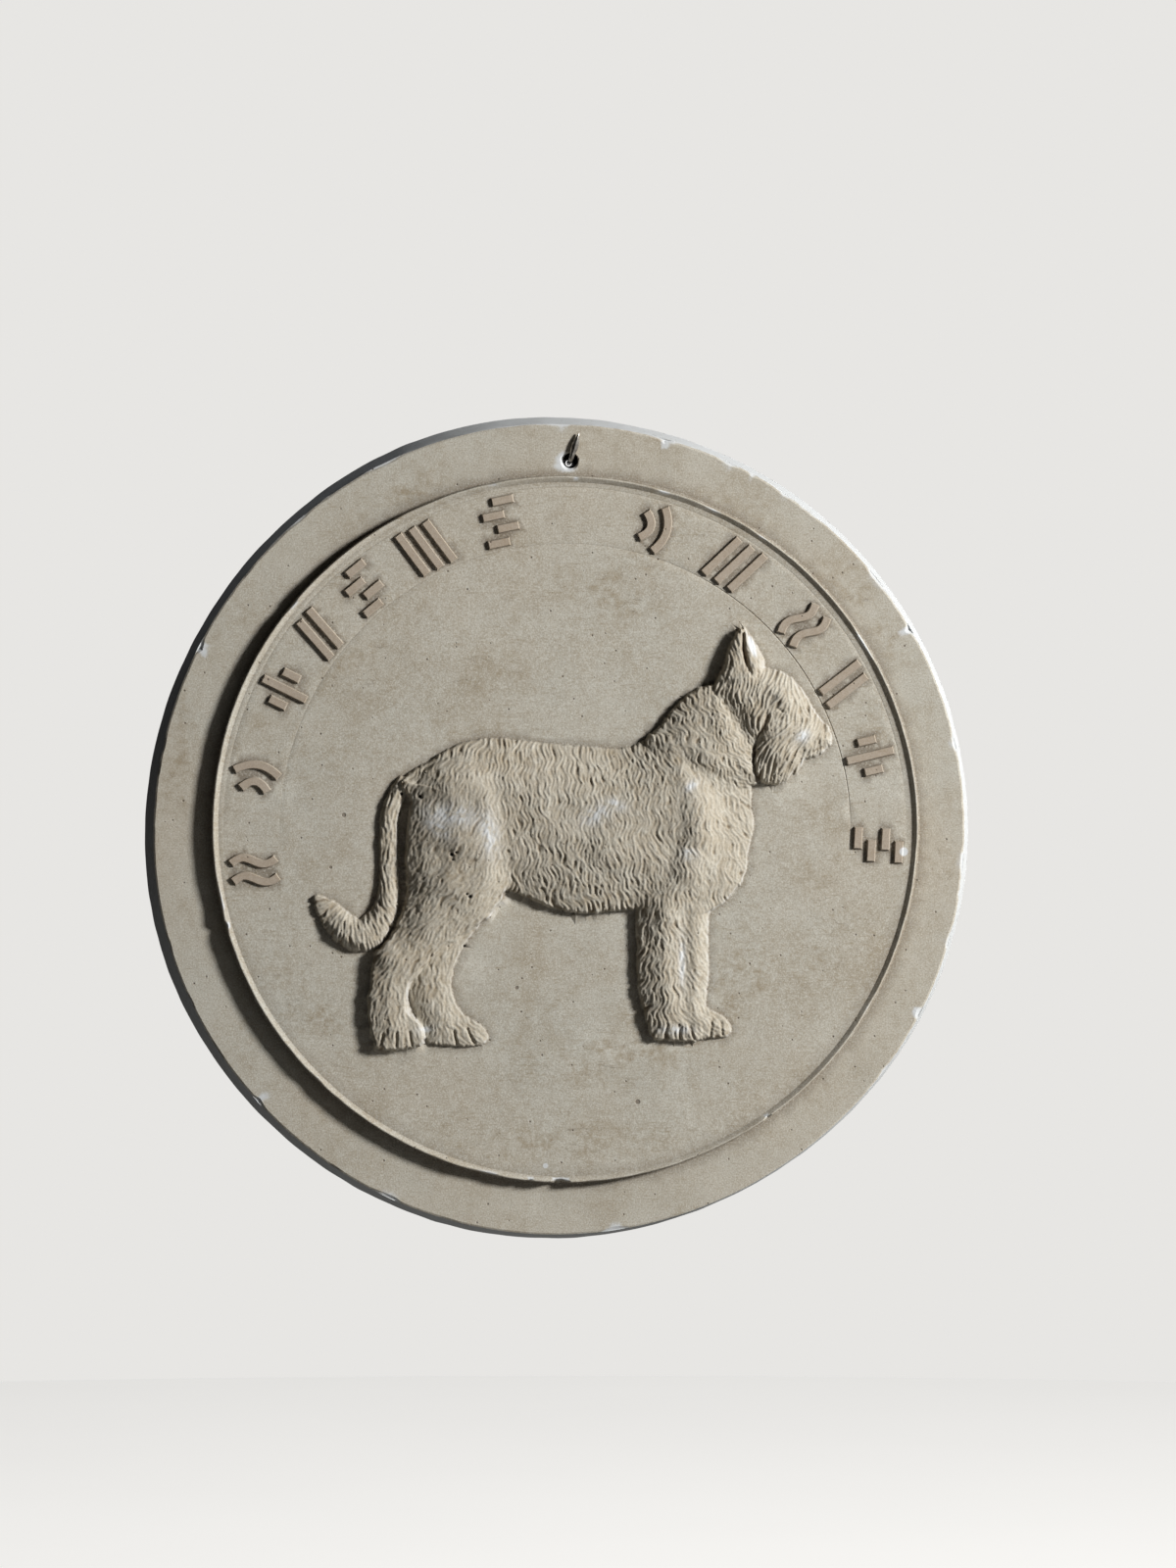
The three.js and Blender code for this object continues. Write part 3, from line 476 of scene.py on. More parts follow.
def smooth_outline(points, step):
    """A closed centripetal Catmull-Rom curve through the points, as short even runs."""
    points = np.asarray(points, float)
    runs = []
    for k in range(len(points)):
        rows = [points[(k + shift) % len(points)] for shift in (-1, 0, 1, 2)]
        knots = [0.0]
        for a, b in zip(rows, rows[1:]):
            knots.append(knots[-1] + math.sqrt(np.linalg.norm(b - a)))
        t = np.linspace(knots[1], knots[2], CURVE_STEPS, endpoint=False)[:, None]
        for lows, highs in ((knots, knots[1:]), (knots, knots[2:]), (knots[1:], knots[2:])):
            rows = [
                ((high - t) * a + (t - low) * b) / (high - low)
                for a, b, low, high in zip(rows, rows[1:], lows, highs)
            ]
        runs.append(rows[0])
    curve = np.concatenate(runs)
    closed = np.vstack([curve, curve[:1]])
    travel = np.concatenate([[0], np.cumsum(np.linalg.norm(np.diff(closed, axis=0), axis=1))])
    at = np.linspace(0, travel[-1], round(travel[-1] / step), endpoint=False)
    return np.stack([np.interp(at, travel, closed[:, k]) for k in range(2)], axis=1)


def edge_distance(places, outline):
    """Signed distance to a closed outline, positive inside, and the way out to its edge."""
    distance = np.empty(len(places))
    outward = np.empty((len(places), 2))
    start, end = outline, np.roll(outline, -1, axis=0)
    run = end - start
    length = (run ** 2).sum(axis=1)
    for low in range(0, len(places), PLACES_AT_ONCE):
        part = np.s_[low:low + PLACES_AT_ONCE]
        block = places[part]
        offset = block[:, None] - start[None]
        share = np.clip((offset * run).sum(axis=2) / length, 0, 1)
        away = share[..., None] * run - offset
        size = (away ** 2).sum(axis=2)
        nearest = size.argmin(axis=1)
        rows = np.arange(len(block))
        crossing = (start[:, 1] > block[:, 1:2]) != (end[:, 1] > block[:, 1:2])
        rise = np.where(run[:, 1] == 0, 1, run[:, 1])
        where = start[:, 0] + (block[:, 1:2] - start[:, 1]) * run[:, 0] / rise
        sign = np.where((crossing & (block[:, 0:1] < where)).sum(axis=1) % 2 == 1, 1, -1)
        reach = np.sqrt(size[rows, nearest])
        distance[part] = sign * reach
        outward[part] = sign[:, None] * away[rows, nearest] / np.maximum(reach, 1e-9)[:, None]
    return distance, outward


def inside(places, loop):
    """Which places lie inside a closed loop."""
    return edge_distance(places, loop)[0] > 0


def clear_of(places, loops, gap):
    """Which places lie at least gap away from closed loops."""
    clear = np.ones(len(places), bool)
    for loop in loops:
        low, high = loop.min(axis=0) - gap, loop.max(axis=0) + gap
        near = np.nonzero(((places > low) & (places < high)).all(axis=1))[0]
        if len(near):
            clear[near] &= np.abs(edge_distance(places[near], loop)[0]) > gap
    return clear


def spots(u, v, places):
    """Soft oval spots from 0 to 1: u, v, half length, half width and turn in degrees."""
    value = np.zeros(len(u))
    for su, sv, long, wide, turn in places:
        c, s = math.cos(turn * DEGREE), math.sin(turn * DEGREE)
        a = ((u - su) * c + (v - sv) * s) / long
        b = (-(u - su) * s + (v - sv) * c) / wide
        value = np.maximum(value, np.exp(-(a * a + b * b)))
    return value


def hex_lattice(radius, pitch):
    """Places of an even triangular lattice within a circle about the ring's centre."""
    lift = pitch * math.sin(60 * DEGREE)
    rows, columns = int(2 * radius / lift) + 2, int(2 * radius / pitch) + 2
    j, i = np.mgrid[0:rows, 0:columns]
    u = (i + (j % 2) / 2 - columns / 2) * pitch
    v = (j - rows / 2) * pitch * math.sin(60 * DEGREE)
    places = np.stack([u.ravel(), v.ravel()], axis=1)
    return places[np.hypot(*places.T) < radius]


# The dog

def nearest_blend(u, v, places, softness=2.0, falloff=3.0):
    """The last values of each place, weighted by nearness; weights fall with distance."""
    total = 0
    weights = 0
    for place in places:
        away = np.sqrt((u - place[0]) ** 2 + (v - place[1]) ** 2 + softness ** 2)
        weight = away ** -falloff
        total = total + weight * np.asarray(place[2:])[:, None]
        weights = weights + weight
    return total / weights


def line_distance(places, line):
    """Distance to an open line of points."""
    best = np.full(len(places), np.inf)
    for a, b in zip(np.asarray(line, float), np.asarray(line[1:], float)):
        run = b - a
        share = np.clip((places - a) @ run / (run @ run), 0, 1)
        best = np.minimum(best, np.linalg.norm(places - a - share[:, None] * run, axis=1))
    return best


def lock_places(form, low, high, rng):
    """Even, slightly shaken places for the locks of a form."""
    steps = (LOCK_ACROSS * form["lock"][0], LOCK_ALONG * form["lock"][1])
    places = np.stack(np.meshgrid(*(np.arange(*ends) for ends in zip(low, high, steps))), axis=-1)
    places[1::2, :, 0] += steps[0] / 2
    places = places.reshape(-1, 2)
    places += rng.uniform(-0.5, 0.5, places.shape) * steps
    distance, _ = edge_distance(places, smooth_outline(form["outline"], OUTLINE_STEP))
    return places[distance > -0.5]


def comb_coat(form, low, shape, seed):
    """Curved tapering locks laid over each other from the tips up: 0 in a groove, 1 on a ridge."""
    rng = np.random.default_rng(seed)
    width, length, sway, wave, _ = form["lock"]
    places = lock_places(form, low, low + np.array(shape[::-1]) * MAP_PITCH, rng)
    count = len(places)
    headings = [(u, v, math.cos(a * DEGREE), math.sin(a * DEGREE)) for u, v, a in form["flow"]]
    along_u, along_v = nearest_blend(*places.T, headings)
    angle = np.arctan2(along_v, along_u) + TURN_SHAKE * rng.normal(size=count)
    angle += drift(*places.T, TURN_DRIFT, seed)
    phase = 2 * math.pi * (places[:, 1] / -wave) + drift(*places.T, PHASE_DRIFT, seed + 1)
    phase += PHASE_SHAKE * rng.normal(size=count)
    lengths = length * rng.uniform(*LOCK_LENGTHS, count)
    widths = width * rng.uniform(*LOCK_WIDTHS, count)
    lift = rng.uniform(*LOCK_LIFTS, count)
    coat = np.zeros(shape)
    for k in np.argsort(places[:, 1] + rng.uniform(-LOCK_ORDER_SHAKE, LOCK_ORDER_SHAKE, count)):
        reach = lengths[k] / 2 + sway + 0.5
        start = np.maximum(((places[k] - reach - low) / MAP_PITCH).astype(int), 0)
        end = np.minimum(((places[k] + reach - low) / MAP_PITCH).astype(int) + 1, shape[::-1])
        if (end <= start).any():
            continue
        du = (low[0] + np.arange(start[0], end[0]) * MAP_PITCH - places[k, 0])[None]
        dv = (low[1] + np.arange(start[1], end[1]) * MAP_PITCH - places[k, 1])[:, None]
        c, s = math.cos(angle[k]), math.sin(angle[k])
        along = (du * c + dv * s) / lengths[k]
        swing = sway * np.sin(2 * math.pi * along * lengths[k] / wave + phase[k])
        taper = np.sqrt(np.clip(1 - (2 * along) ** 2, 0, 1))
        edge = np.abs(dv * c - du * s - swing) / (widths[k] / 2 * taper + 1e-6)
        ridge = (1 - np.minimum(edge, 1) ** RIDGE_POWER) * lift[k] * (ROOT_LIFT + TIP_LIFT * along)
        window = coat[start[1]:end[1], start[0]:end[0]]
        laid = np.maximum(ridge, UNDERLAP * window)
        window[:] = np.where((edge < 1) & (taper > 0), laid, window)
    return coat


def softened(grid):
    """Blurs a grid a little, so that fine ridges are drawn evenly."""
    for axis in (0, 1):
        grid = 0.5 * grid + 0.25 * (np.roll(grid, 1, axis) + np.roll(grid, -1, axis))
    return grid


def form_relief(form, u, v, seed):
    """Height of one form above the field, the depth of its grooves and distance to its edge."""
    shape = u.shape
    coat = softened(comb_coat(form, np.array([u.flat[0], v.flat[0]]), shape, seed)).ravel()
    u, v = u.ravel(), v.ravel()
    places = np.stack([u, v], axis=1)
    distance, outward = edge_distance(places, smooth_outline(form["outline"], OUTLINE_STEP))
    distance = distance + EDGE_LOCKS * (coat - 0.5) + drift(u, v, EDGE_DRIFT, seed + 4)
    left, right, top, bottom = form["edges"]
    facing = outward ** 2
    rim = np.where(outward[:, 0] < 0, left, right) * facing[:, 0]
    rim += np.where(outward[:, 1] > 0, top, bottom) * facing[:, 1]
    crown = nearest_blend(u, v, form["heights"])[0]
    inward = np.clip(distance / form["reach"], 0, 1)
    rise = rim + (crown - rim) * np.sin(inward * math.pi / 2)
    for su, sv, radius, height in form.get("swells", ()):
        rise = rise + height * np.exp(-((u - su) ** 2 + (v - sv) ** 2) / radius ** 2)
    rise += drift(u, v, CROWN_DRIFT, seed + 5) * inward
    deep = 0
    for line, half, depth in form.get("cuts", ()):
        deep = np.maximum(deep, depth * np.exp(-((line_distance(places, line) / half) ** 2)))
    depth = form["lock"][4] * np.minimum(1, rise / FULL_LOCK_RISE)
    rise = rise + LOCK_RISE * depth * (coat - LOCK_MIDDLE) - deep
    groove = np.maximum(1 - coat, np.minimum(deep, 1))
    wall = WALL_LEAN * np.maximum(rim, 1)
    rise = np.maximum(rise, LEAST_RISE) * (1 - smooth_step(-distance / wall))
    return tuple(grid.reshape(shape) for grid in (rise, groove, distance))


class ReliefMap:
    """Height, groove and distance into the dog on an even grid of places."""

    def __init__(self):
        points = np.vstack([form["outline"] for form in DOG_FORMS.values()])
        self.low = np.floor(points.min(axis=0)) - MAP_MARGIN
        self.high = np.ceil(points.max(axis=0)) + MAP_MARGIN
        u, v = np.meshgrid(*(np.arange(*ends, MAP_PITCH) for ends in zip(self.low, self.high)))
        self.height, self.groove = np.zeros(u.shape), np.zeros(u.shape)
        self.depth = np.full(u.shape, -float(MAP_MARGIN))
        for number, form in enumerate(DOG_FORMS.values()):
            self.lay(form, u, v, SEED + 20 * number)

    def lay(self, form, u, v, seed):
        """Lays one form over those already there, with a soft valley where they meet."""
        ends = (
            np.min(form["outline"], axis=0) - MAP_MARGIN,
            np.max(form["outline"], axis=0) + MAP_MARGIN,
        )
        start, end = (np.maximum((place - self.low) / MAP_PITCH, 0).astype(int) for place in ends)
        part = np.s_[start[1]:end[1], start[0]:end[0]]
        rise, groove, distance = form_relief(form, u[part], v[part], seed)
        below = self.height[part]
        close = np.clip(1 - np.abs(rise - below) / BLEND, 0, 1)
        both = np.clip(np.minimum(rise, below) / BLEND, 0, 1)
        over = smooth_step(0.5 + (rise - below) / OVERLAP)
        self.groove[part] = groove * over + self.groove[part] * (1 - over)
        self.height[part] = np.maximum(rise, below) + close ** 2 * both * BLEND / 4
        self.depth[part] = np.maximum(self.depth[part], distance)

    def sample(self, places):
        """Height, groove and distance at places in mm, by straight interpolation."""
        x, y = ((places - self.low) / MAP_PITCH).T
        rows, columns = self.height.shape
        outside = (x < 0) | (y < 0) | (x > columns - 2) | (y > rows - 2)
        x, y = np.clip(x, 0, columns - 2), np.clip(y, 0, rows - 2)
        i, j = x.astype(int), y.astype(int)
        fx, fy = x - i, y - j
        values = []
        for grid, beyond in ((self.height, 0), (self.groove, 0), (self.depth, -RING_RADIUS)):
            lower = grid[j, i] * (1 - fx) + grid[j, i + 1] * fx
            upper = grid[j + 1, i] * (1 - fx) + grid[j + 1, i + 1] * fx
            values.append(np.where(outside, beyond, lower * (1 - fy) + upper * fy))
        return values


# Raised strokes

def straight(x0, y0, x1, y1):
    return np.array([(x0, y0 * STROKE_REACH), (x1, y1 * STROKE_REACH)])


def curved(point_at, steps=24):
    return np.array([point_at(t) for t in np.linspace(0, 1, steps + 1)])


def wave_pair():
    """Two wavy strokes side by side."""
    return [
        curved(lambda t: (
            side * STROKE_SPACING + STROKE_SWAY * math.sin(2 * math.pi * t),
            (1 - 2 * t) * CURVE_REACH,
        ))
        for side in (-0.6, 0.6)
    ]


def bow_pair():
    """Two bows, one inside the other."""
    return [
        curved(lambda t: (
            side * STROKE_SPACING - 2 * STROKE_SWAY * (2 * t - 1) ** 2,
            (2 * t - 1) * share * CURVE_REACH,
        ))
        for side, share in ((0.8, 1), (-0.3, 0.6))
    ]


def slants(count, side):
    """Slanted strokes of even length."""
    places = [(i - (count - 1) / 2) * STROKE_SPACING for i in range(count)]
    return [straight(x - side * STROKE_SWAY, -1, x + side * STROKE_SWAY, 1) for x in places]


def staggered():
    """Short level strokes, stacked and staggered."""
    half = 0.75 * STROKE_SPACING
    return [
        straight(side * STROKE_SPACING - half, y, side * STROKE_SPACING + half, y)
        for side, y in ((-0.4, -0.84), (0.4, -0.28), (-0.4, 0.28), (0.4, 0.84))
    ]


def tall_and_short():
    """A tall stroke between two short ones."""
    return [
        straight(side * STROKE_SPACING, -share, side * STROKE_SPACING, share)
        for side, share in ((-1, 0.4), (0, 1), (1, 0.4))
    ]


# Each group's place on the arc in degrees, and its strokes
STROKE_GROUPS = (
    (187.5, wave_pair()), (170.5, bow_pair()), (153.6, tall_and_short()), (141.6, slants(2, 1)),
    (130, staggered()), (116.5, slants(3, -1)), (102, staggered()), (73.5, bow_pair()),
    (57.5, slants(3, 1.4)), (40.5, wave_pair()), (27.5, slants(2, -1)), (13.5, tall_and_short()),
    (-3, staggered()),
)


def stroke_outline(line, half, over):
    """The closed edge of a flat stroke of even width along a line of points."""
    line = np.array(line, float)
    ends = np.gradient(line, axis=0)
    ends /= np.linalg.norm(ends, axis=1)[:, None]
    line[0] -= ends[0] * over
    line[-1] += ends[-1] * over
    across = np.stack([-ends[:, 1], ends[:, 0]], axis=1) * half
    return np.vstack([line + across, (line - across)[::-1]])


def even_steps(loop, step):
    """Adds points along the runs of a closed loop so that none is longer than step."""
    out = []
    for a, b in zip(loop, np.roll(loop, -1, axis=0)):
        count = max(1, math.ceil(np.linalg.norm(b - a) / step))
        out.extend(a + (b - a) * k / count for k in range(count))
    return np.array(out)


def placed_strokes():
    """The foot and the top edge of every raised stroke, as closed loops on the front."""
    middle = (BAND_OUTER + BAND_INNER) / 2
    placed = []
    for angle, lines in STROKE_GROUPS:
        turn = (angle - 90) * DEGREE
        spin = np.array([[math.cos(turn), math.sin(turn)], [-math.sin(turn), math.cos(turn)]])
        for line in lines:
            loops = []
            for inset in (0, STROKE_LEAN):
                loop = stroke_outline(line, STROKE_WIDTH / 2 - inset, -inset)
                loops.append((even_steps(loop, STROKE_STEP) + (0, middle)) @ spin + DISC_SHIFT)
            placed.append(loops)
    return placed


# The front as one sheet

FINISH_VALUES = ("coat", "groove", "soil", "worn", "stroke", "pit", "bare", "stain")


class FrontSheet:
    """Gathers places, heights and fixed lines, then joins them into one sheet of triangles."""

    def __init__(self):
        self.places = []
        self.heights = []
        self.values = {name: [] for name in FINISH_VALUES}
        self.lines = []
        self.count = 0

    def add(self, places, heights, line=None, **values):
        """Adds points; line is None, "open" or "closed". Returns their numbers."""
        size = len(places)
        numbers = np.arange(self.count, self.count + size)
        self.places.append(places)
        self.heights.append(np.broadcast_to(heights, size).astype(float))
        for name, gathered in self.values.items():
            gathered.append(np.broadcast_to(values.get(name, 0.0), size).astype(float))
        if line:
            pairs = np.stack([numbers, np.roll(numbers, -1)], axis=1)
            self.lines.append(pairs if line == "closed" else pairs[:-1])
        self.count += size
        return numbers

    def joined(self):
        """Places, heights, values, triangles, and the new number of each point."""
        places = np.vstack(self.places)
        corners, _, faces, origins, _, _ = delaunay_2d_cdt(
            [Vector(p) for p in places.tolist()], np.vstack(self.lines).tolist(), [], 0,
            JOIN_DISTANCE, True,
        )
        numbers = np.full(len(places), -1)
        first = np.zeros(len(corners), int)
        for new, olds in enumerate(origins):
            if not olds:
                raise RuntimeError("two fixed lines of the front cross each other")
            numbers[olds] = new
            first[new] = olds[0]
        values = {name: np.concatenate(parts)[first] for name, parts in self.values.items()}
        points = np.column_stack([places[first], np.concatenate(self.heights)[first]])
        return points, values, np.array(faces), numbers


def rim_swell(angles):
    """How far the ring's edge stands out, as the rim isn't quite round."""
    return sum(
        height * np.exp(-((angle_apart(angles, centre) / width) ** 2))
        for centre, width, height in RIM_SWELLS
    )


def worn_edge(angles, seed):
    """How far a sharp round edge is chipped back, in mm, for angles in degrees."""
    u, v = polar(100, angles).T
    rough = sum(
        drift(u, v, (EDGE_ROUGH, size), seed + k) for k, size in enumerate(EDGE_ROUGH_SIZES)
    )
    bites = np.clip(lattice_noise(u, v, BITE_SIZE, seed + 2) - BITE_LEVEL, 0, 1)
    return EDGE_ROUGH * np.clip(rough, 0, 1) + BITE_DEPTH * bites


def chipped_edge(angles, wear, seed, chips):
    """Depth of the wear and of the larger chips along a round edge."""
    depth = wear * worn_edge(angles, seed)
    for centre, width, size in chips:
        chip = size * np.clip(1 - (angle_apart(angles, centre) / width) ** 2, 0, 1)
        depth = np.maximum(depth, chip)
    return depth


def undulation(places):
    """The slight unevenness of the cast faces, in mm."""
    u, v = places.T
    return sum(drift(u, v, one, SEED + 300 + k) for k, one in enumerate(CAST_DRIFTS))


def add_round_lines(sheet):
    """The round edges of the front: ring edge, step, crest and bevel. Returns the outer loop."""
    angles = even_angles(ROUND_STEPS)
    chips = chipped_edge(angles, RING_WEAR, SEED + 40, RING_CHIPS)
    swell = rim_swell(angles) / 2
    edge = polar(RING_RADIUS + swell - 0.35 * chips, angles)
    bare = np.clip(0.25 + 1.1 * chips, 0, 1)
    outer = sheet.add(edge, RING_THICKNESS - 0.3 - 0.6 * chips, line="closed", bare=bare)
    inner = polar(RING_RADIUS + swell - 0.6 - 1.1 * chips, angles)
    sheet.add(inner, RING_THICKNESS, line="closed", bare=np.clip(1.6 * chips - 0.4, 0, 1))
    chips = chipped_edge(angles, CREST_WEAR, SEED + 50, CREST_CHIPS)
    broken = np.clip(1.8 * chips - 0.25, 0, 1)
    # Radius, height, how far chips draw it back and down, share of bare plaster, and soil,
    # which at the foot of the step also paints its shade
    rows = (
        (DISC_RADIUS + STEP_LEAN + 0.6, RING_THICKNESS, 0, 0, 0, 0.7),
        (DISC_RADIUS + STEP_LEAN, RING_THICKNESS + 0.4, 0, 0, 0, 0.8),
        (DISC_RADIUS + 0.06, STEP_TOP - 0.4, 0.5, 0.9, 0.5, 0.2),
        (DISC_RADIUS - 0.15, STEP_TOP - 0.06, 0.5, 0.9, 1, 0),
        (DISC_RADIUS - CREST_WIDTH, STEP_TOP - 0.05, 0.42, 0.6, 1, 0),
        (FIELD_RADIUS, FIELD_HEIGHT, 0, 0, 0, 0.35),
    )
    for radius, height, back, down, share, soil in rows:
        reach = radius + waves(angles, DISC_WAVES) - back * chips
        places = polar(reach, angles) + DISC_SHIFT
        sheet.add(places, height - down * chips, line="closed", bare=share * broken, soil=soil)
    return outer


def add_incised_arcs(sheet):
    """Two fine V grooves beside the strokes, fading at their ends and on the left."""
    angles = np.linspace(BAND_START, BAND_END, INCISED_STEPS)
    ends = (angles - BAND_START, BAND_END - angles)
    fade = math.prod(smooth_step(end / span) for end, span in zip(ends, INCISED_FADES))
    inner = INNER_SHARE + RIGHT_SHARE * smooth_step((RIGHT_END - angles) / RIGHT_FADE)
    for radius, share in ((BAND_OUTER, OUTER_SHARE), (BAND_INNER, inner)):
        for side in (-1, 0, 1):
            places = polar(radius + side * INCISED_WIDTH / 2, angles) + DISC_SHIFT
            cut = fade * share * (side == 0)
            sheet.add(places, FIELD_HEIGHT - INCISED_DEPTH * cut, line="open", soil=0.8 * cut)


def add_hole(sheet):
    """The mouth of the hanging hole and the plaster broken away round it."""
    angles = even_angles(HOLE_STEPS)
    chipped = 0.5 - 0.5 * np.cos((angles - HOLE_WHOLE_SIDE) * DEGREE)
    ragged = 0.25 + chipped + waves(angles, HOLE_WAVES)
    rim = polar(HOLE_RADIUS + HOLE_BREAK * ragged, angles) + HOLE_UV
    sheet.add(rim, RING_THICKNESS, line="closed", bare=chipped)
    mouth = polar(HOLE_RADIUS + 0.02, angles) + HOLE_UV
    low = RING_THICKNESS - HOLE_BREAK_DEPTH * ragged
    return sheet.add(mouth, low, line="closed", bare=chipped)


def add_field(sheet, relief, strokes):
    """Even points over the ring's face, the field and the tops of the strokes."""
    loops = [loop for pair in strokes for loop in pair]
    places = hex_lattice(RING_RADIUS, FIELD_PITCH)
    places = places + np.random.default_rng(SEED).uniform(-FIELD_SHAKE, FIELD_SHAKE, places.shape)
    from_disc = np.hypot(*(places - DISC_SHIFT).T)
    keep = np.hypot(*places.T) < RING_RADIUS - RIM_STRIP
    keep &= np.hypot(*(places - HOLE_UV).T) > HOLE_RADIUS + HOLE_STRIP
    for radius, strip in (
        (DISC_RADIUS, STEP_STRIP), (BAND_OUTER, ARC_STRIP), (BAND_INNER, ARC_STRIP),
    ):
        keep &= np.abs(from_disc - radius) > strip
    keep &= clear_of(places, loops, STROKE_STRIP) & (relief.sample(places)[2] < -DOG_STRIP)
    places, from_disc = places[keep], from_disc[keep]
    on_ring = from_disc > DISC_RADIUS
    raised = np.zeros(len(places))
    for _, top in strokes:
        near = np.hypot(*(places - top.mean(axis=0)).T) < BAND_DEPTH
        raised[near] = np.maximum(raised[near], inside(places[near], top))
    base = np.where(on_ring, RING_THICKNESS, FIELD_HEIGHT)
    heights = base + undulation(places) + STROKE_HEIGHT * raised
    off_step = np.maximum(from_disc - DISC_RADIUS, 0)
    # Soil on the ring at the foot of the step, which also paints the step's shade
    soil = STEP_SOIL_AND_SHADE * np.exp(-off_step / STEP_SOIL_AND_SHADE_REACH) * on_ring
    sheet.add(places, heights, stroke=raised, soil=soil, stain=spots(*places.T, STAINS))


def coat_finish(relief, places, height, groove, depth):
    """Finish values of places on and round the dog."""
    u, v = places.T
    on_dog = smooth_step(height / COAT_RISE)
    # A painted highlight on edges that fall away to the right, towards the key light
    step = (FALL_STEP, 0)
    fall = relief.sample(places - step)[0] - relief.sample(places + step)[0]
    edge_highlight = EDGE_HIGHLIGHT * smooth_step((fall - FALL_START) / FALL_RANGE)
    edge_highlight *= np.exp(-np.maximum(depth, 0) / EDGE_HIGHLIGHT_REACH)
    pit = np.zeros(len(places))
    for pu, pv, size in PITS:
        pit = np.maximum(pit, np.exp(-((u - pu) ** 2 + (v - pv) ** 2) / size ** 2))
    return dict(
        coat=on_dog, groove=groove * on_dog, pit=pit,
        # Soil on the field round the dog, which also paints the shade at the foot of its walls
        soil=np.exp(np.minimum(depth, 0) / DOG_SOIL_AND_SHADE_REACH) * (1 - on_dog),
        # Worn places, and the painted highlight on right-hand edges
        worn=np.maximum(spots(u, v, WORN_PLACES), edge_highlight) * on_dog,
        # Chipped plaster, and the painted highlight on the ear
        bare=spots(u, v, (EAR_GLEAM,)) * on_dog,
        # Stains of the field; on the coat brown patina and painted shade
        stain=np.where(on_dog > 0.5, spots(u, v, COAT_STAINS_AND_SHADE), spots(u, v, STAINS)),
    )


def add_relief(sheet, relief, strokes):
    """Close points over the dog, closest on its face, and a little way out on the field."""
    loops = [loop for pair in strokes for loop in pair]
    for pitch, on_face in ((COAT_PITCH, False), (FACE_PITCH, True)):
        places = hex_lattice(RING_RADIUS, pitch)
        on_map = (places > relief.low).all(axis=1) & (places < relief.high).all(axis=1)
        places = places[on_map & ((places > FACE_CORNER).all(axis=1) == on_face)]
        keep = relief.sample(places)[2] > -COAT_MARGIN
        keep &= clear_of(places, loops, COAT_STROKE_STRIP)
        keep &= np.abs(np.hypot(*(places - DISC_SHIFT).T) - BAND_INNER) > COAT_ARC_STRIP
        places = places[keep]
        height, groove, depth = relief.sample(places)
        finish = coat_finish(relief, places, height, groove, depth)
        heights = FIELD_HEIGHT + height + undulation(places) - PIT_DEPTH * finish["pit"]
        sheet.add(places, heights, **finish)


def build_front():
    """The whole front as one sheet of triangles, with its loops and finish values."""
    sheet = FrontSheet()
    outer = add_round_lines(sheet)
    strokes = placed_strokes()
    for foot, top in strokes:
        sheet.add(foot, FIELD_HEIGHT, line="closed", soil=0.8)
        sheet.add(top, FIELD_HEIGHT + STROKE_HEIGHT, line="closed", stroke=1)
    add_incised_arcs(sheet)
    mouth = add_hole(sheet)
    relief = ReliefMap()
    add_field(sheet, relief, strokes)
    add_relief(sheet, relief, strokes)
    points, values, faces, numbers = sheet.joined()
    return points, values, faces, numbers[outer], numbers[mouth]


# The closed casting

def level_ring(radius, angles, share, centre=(0, 0)):
    """A ring of points, at a share of the way from the ring's face to the back."""
    level = np.full(len(angles), RING_THICKNESS * (1 - share))
    return np.column_stack([polar(radius, angles) + centre, level])


def side_rows():
    """Rows of points down the flared side wall."""
    angles = even_angles(ROUND_STEPS)
    swell = rim_swell(angles)
    rows = []
    for share in SIDE_SHARES:
        reach = RING_RADIUS + RIM_FLARE * min(share, 0.97) + swell * (0.5 + 0.5 * share)
        shake = (SIDE_WAVE, SIDE_WAVE_SIZE)
        reach = reach + drift(*polar(reach, angles).T, shake, SEED + round(10 * share))
        rows.append(level_ring(reach - (RIM_EASE if share == 1.0 else 0), angles, share))
    return rows


def bore_rows(count):
    """Rows of points down the tapered bore of the hole, turned the other way round."""
    angles = even_angles(count)
    taper = HOLE_RADIUS - HOLE_BACK_RADIUS
    rings = [level_ring(HOLE_RADIUS - taper * s, angles, s, HOLE_UV) for s in BORE_SHARES]
    return [ring[::-1] for ring in rings]


def walled(above, rows, count):
    """Quads from a loop of point numbers down to rows numbered on from count, and the last row."""
    quads = []
    for row in rows:
        below = np.arange(len(row)) + count
        quads.append(np.stack([above, below, np.roll(below, -1), np.roll(above, -1)], axis=1))
        above = below
        count += len(row)
    return np.vstack(quads), above


def back_triangles(points, edge, bore_end):
    """Triangles of the flat back, between its edge and the end of the bore."""
    back = np.concatenate([edge, bore_end])
    loops = [
        np.stack([loop, np.roll(loop, -1)], axis=1)
        for loop in (np.arange(len(edge)), np.arange(len(edge), len(back)))
    ]
    _, _, faces, _, _, _ = delaunay_2d_cdt(
        [Vector(p) for p in points[back, :2].tolist()], np.vstack(loops).tolist(), [], 0,
        JOIN_DISTANCE, False,
    )
    faces = back[np.array(faces)]
    middle = points[faces].mean(axis=1)[:, :2]
    keep = inside(middle, points[edge, :2]) & ~inside(middle, points[bore_end, :2])
    return faces[keep][:, ::-1]


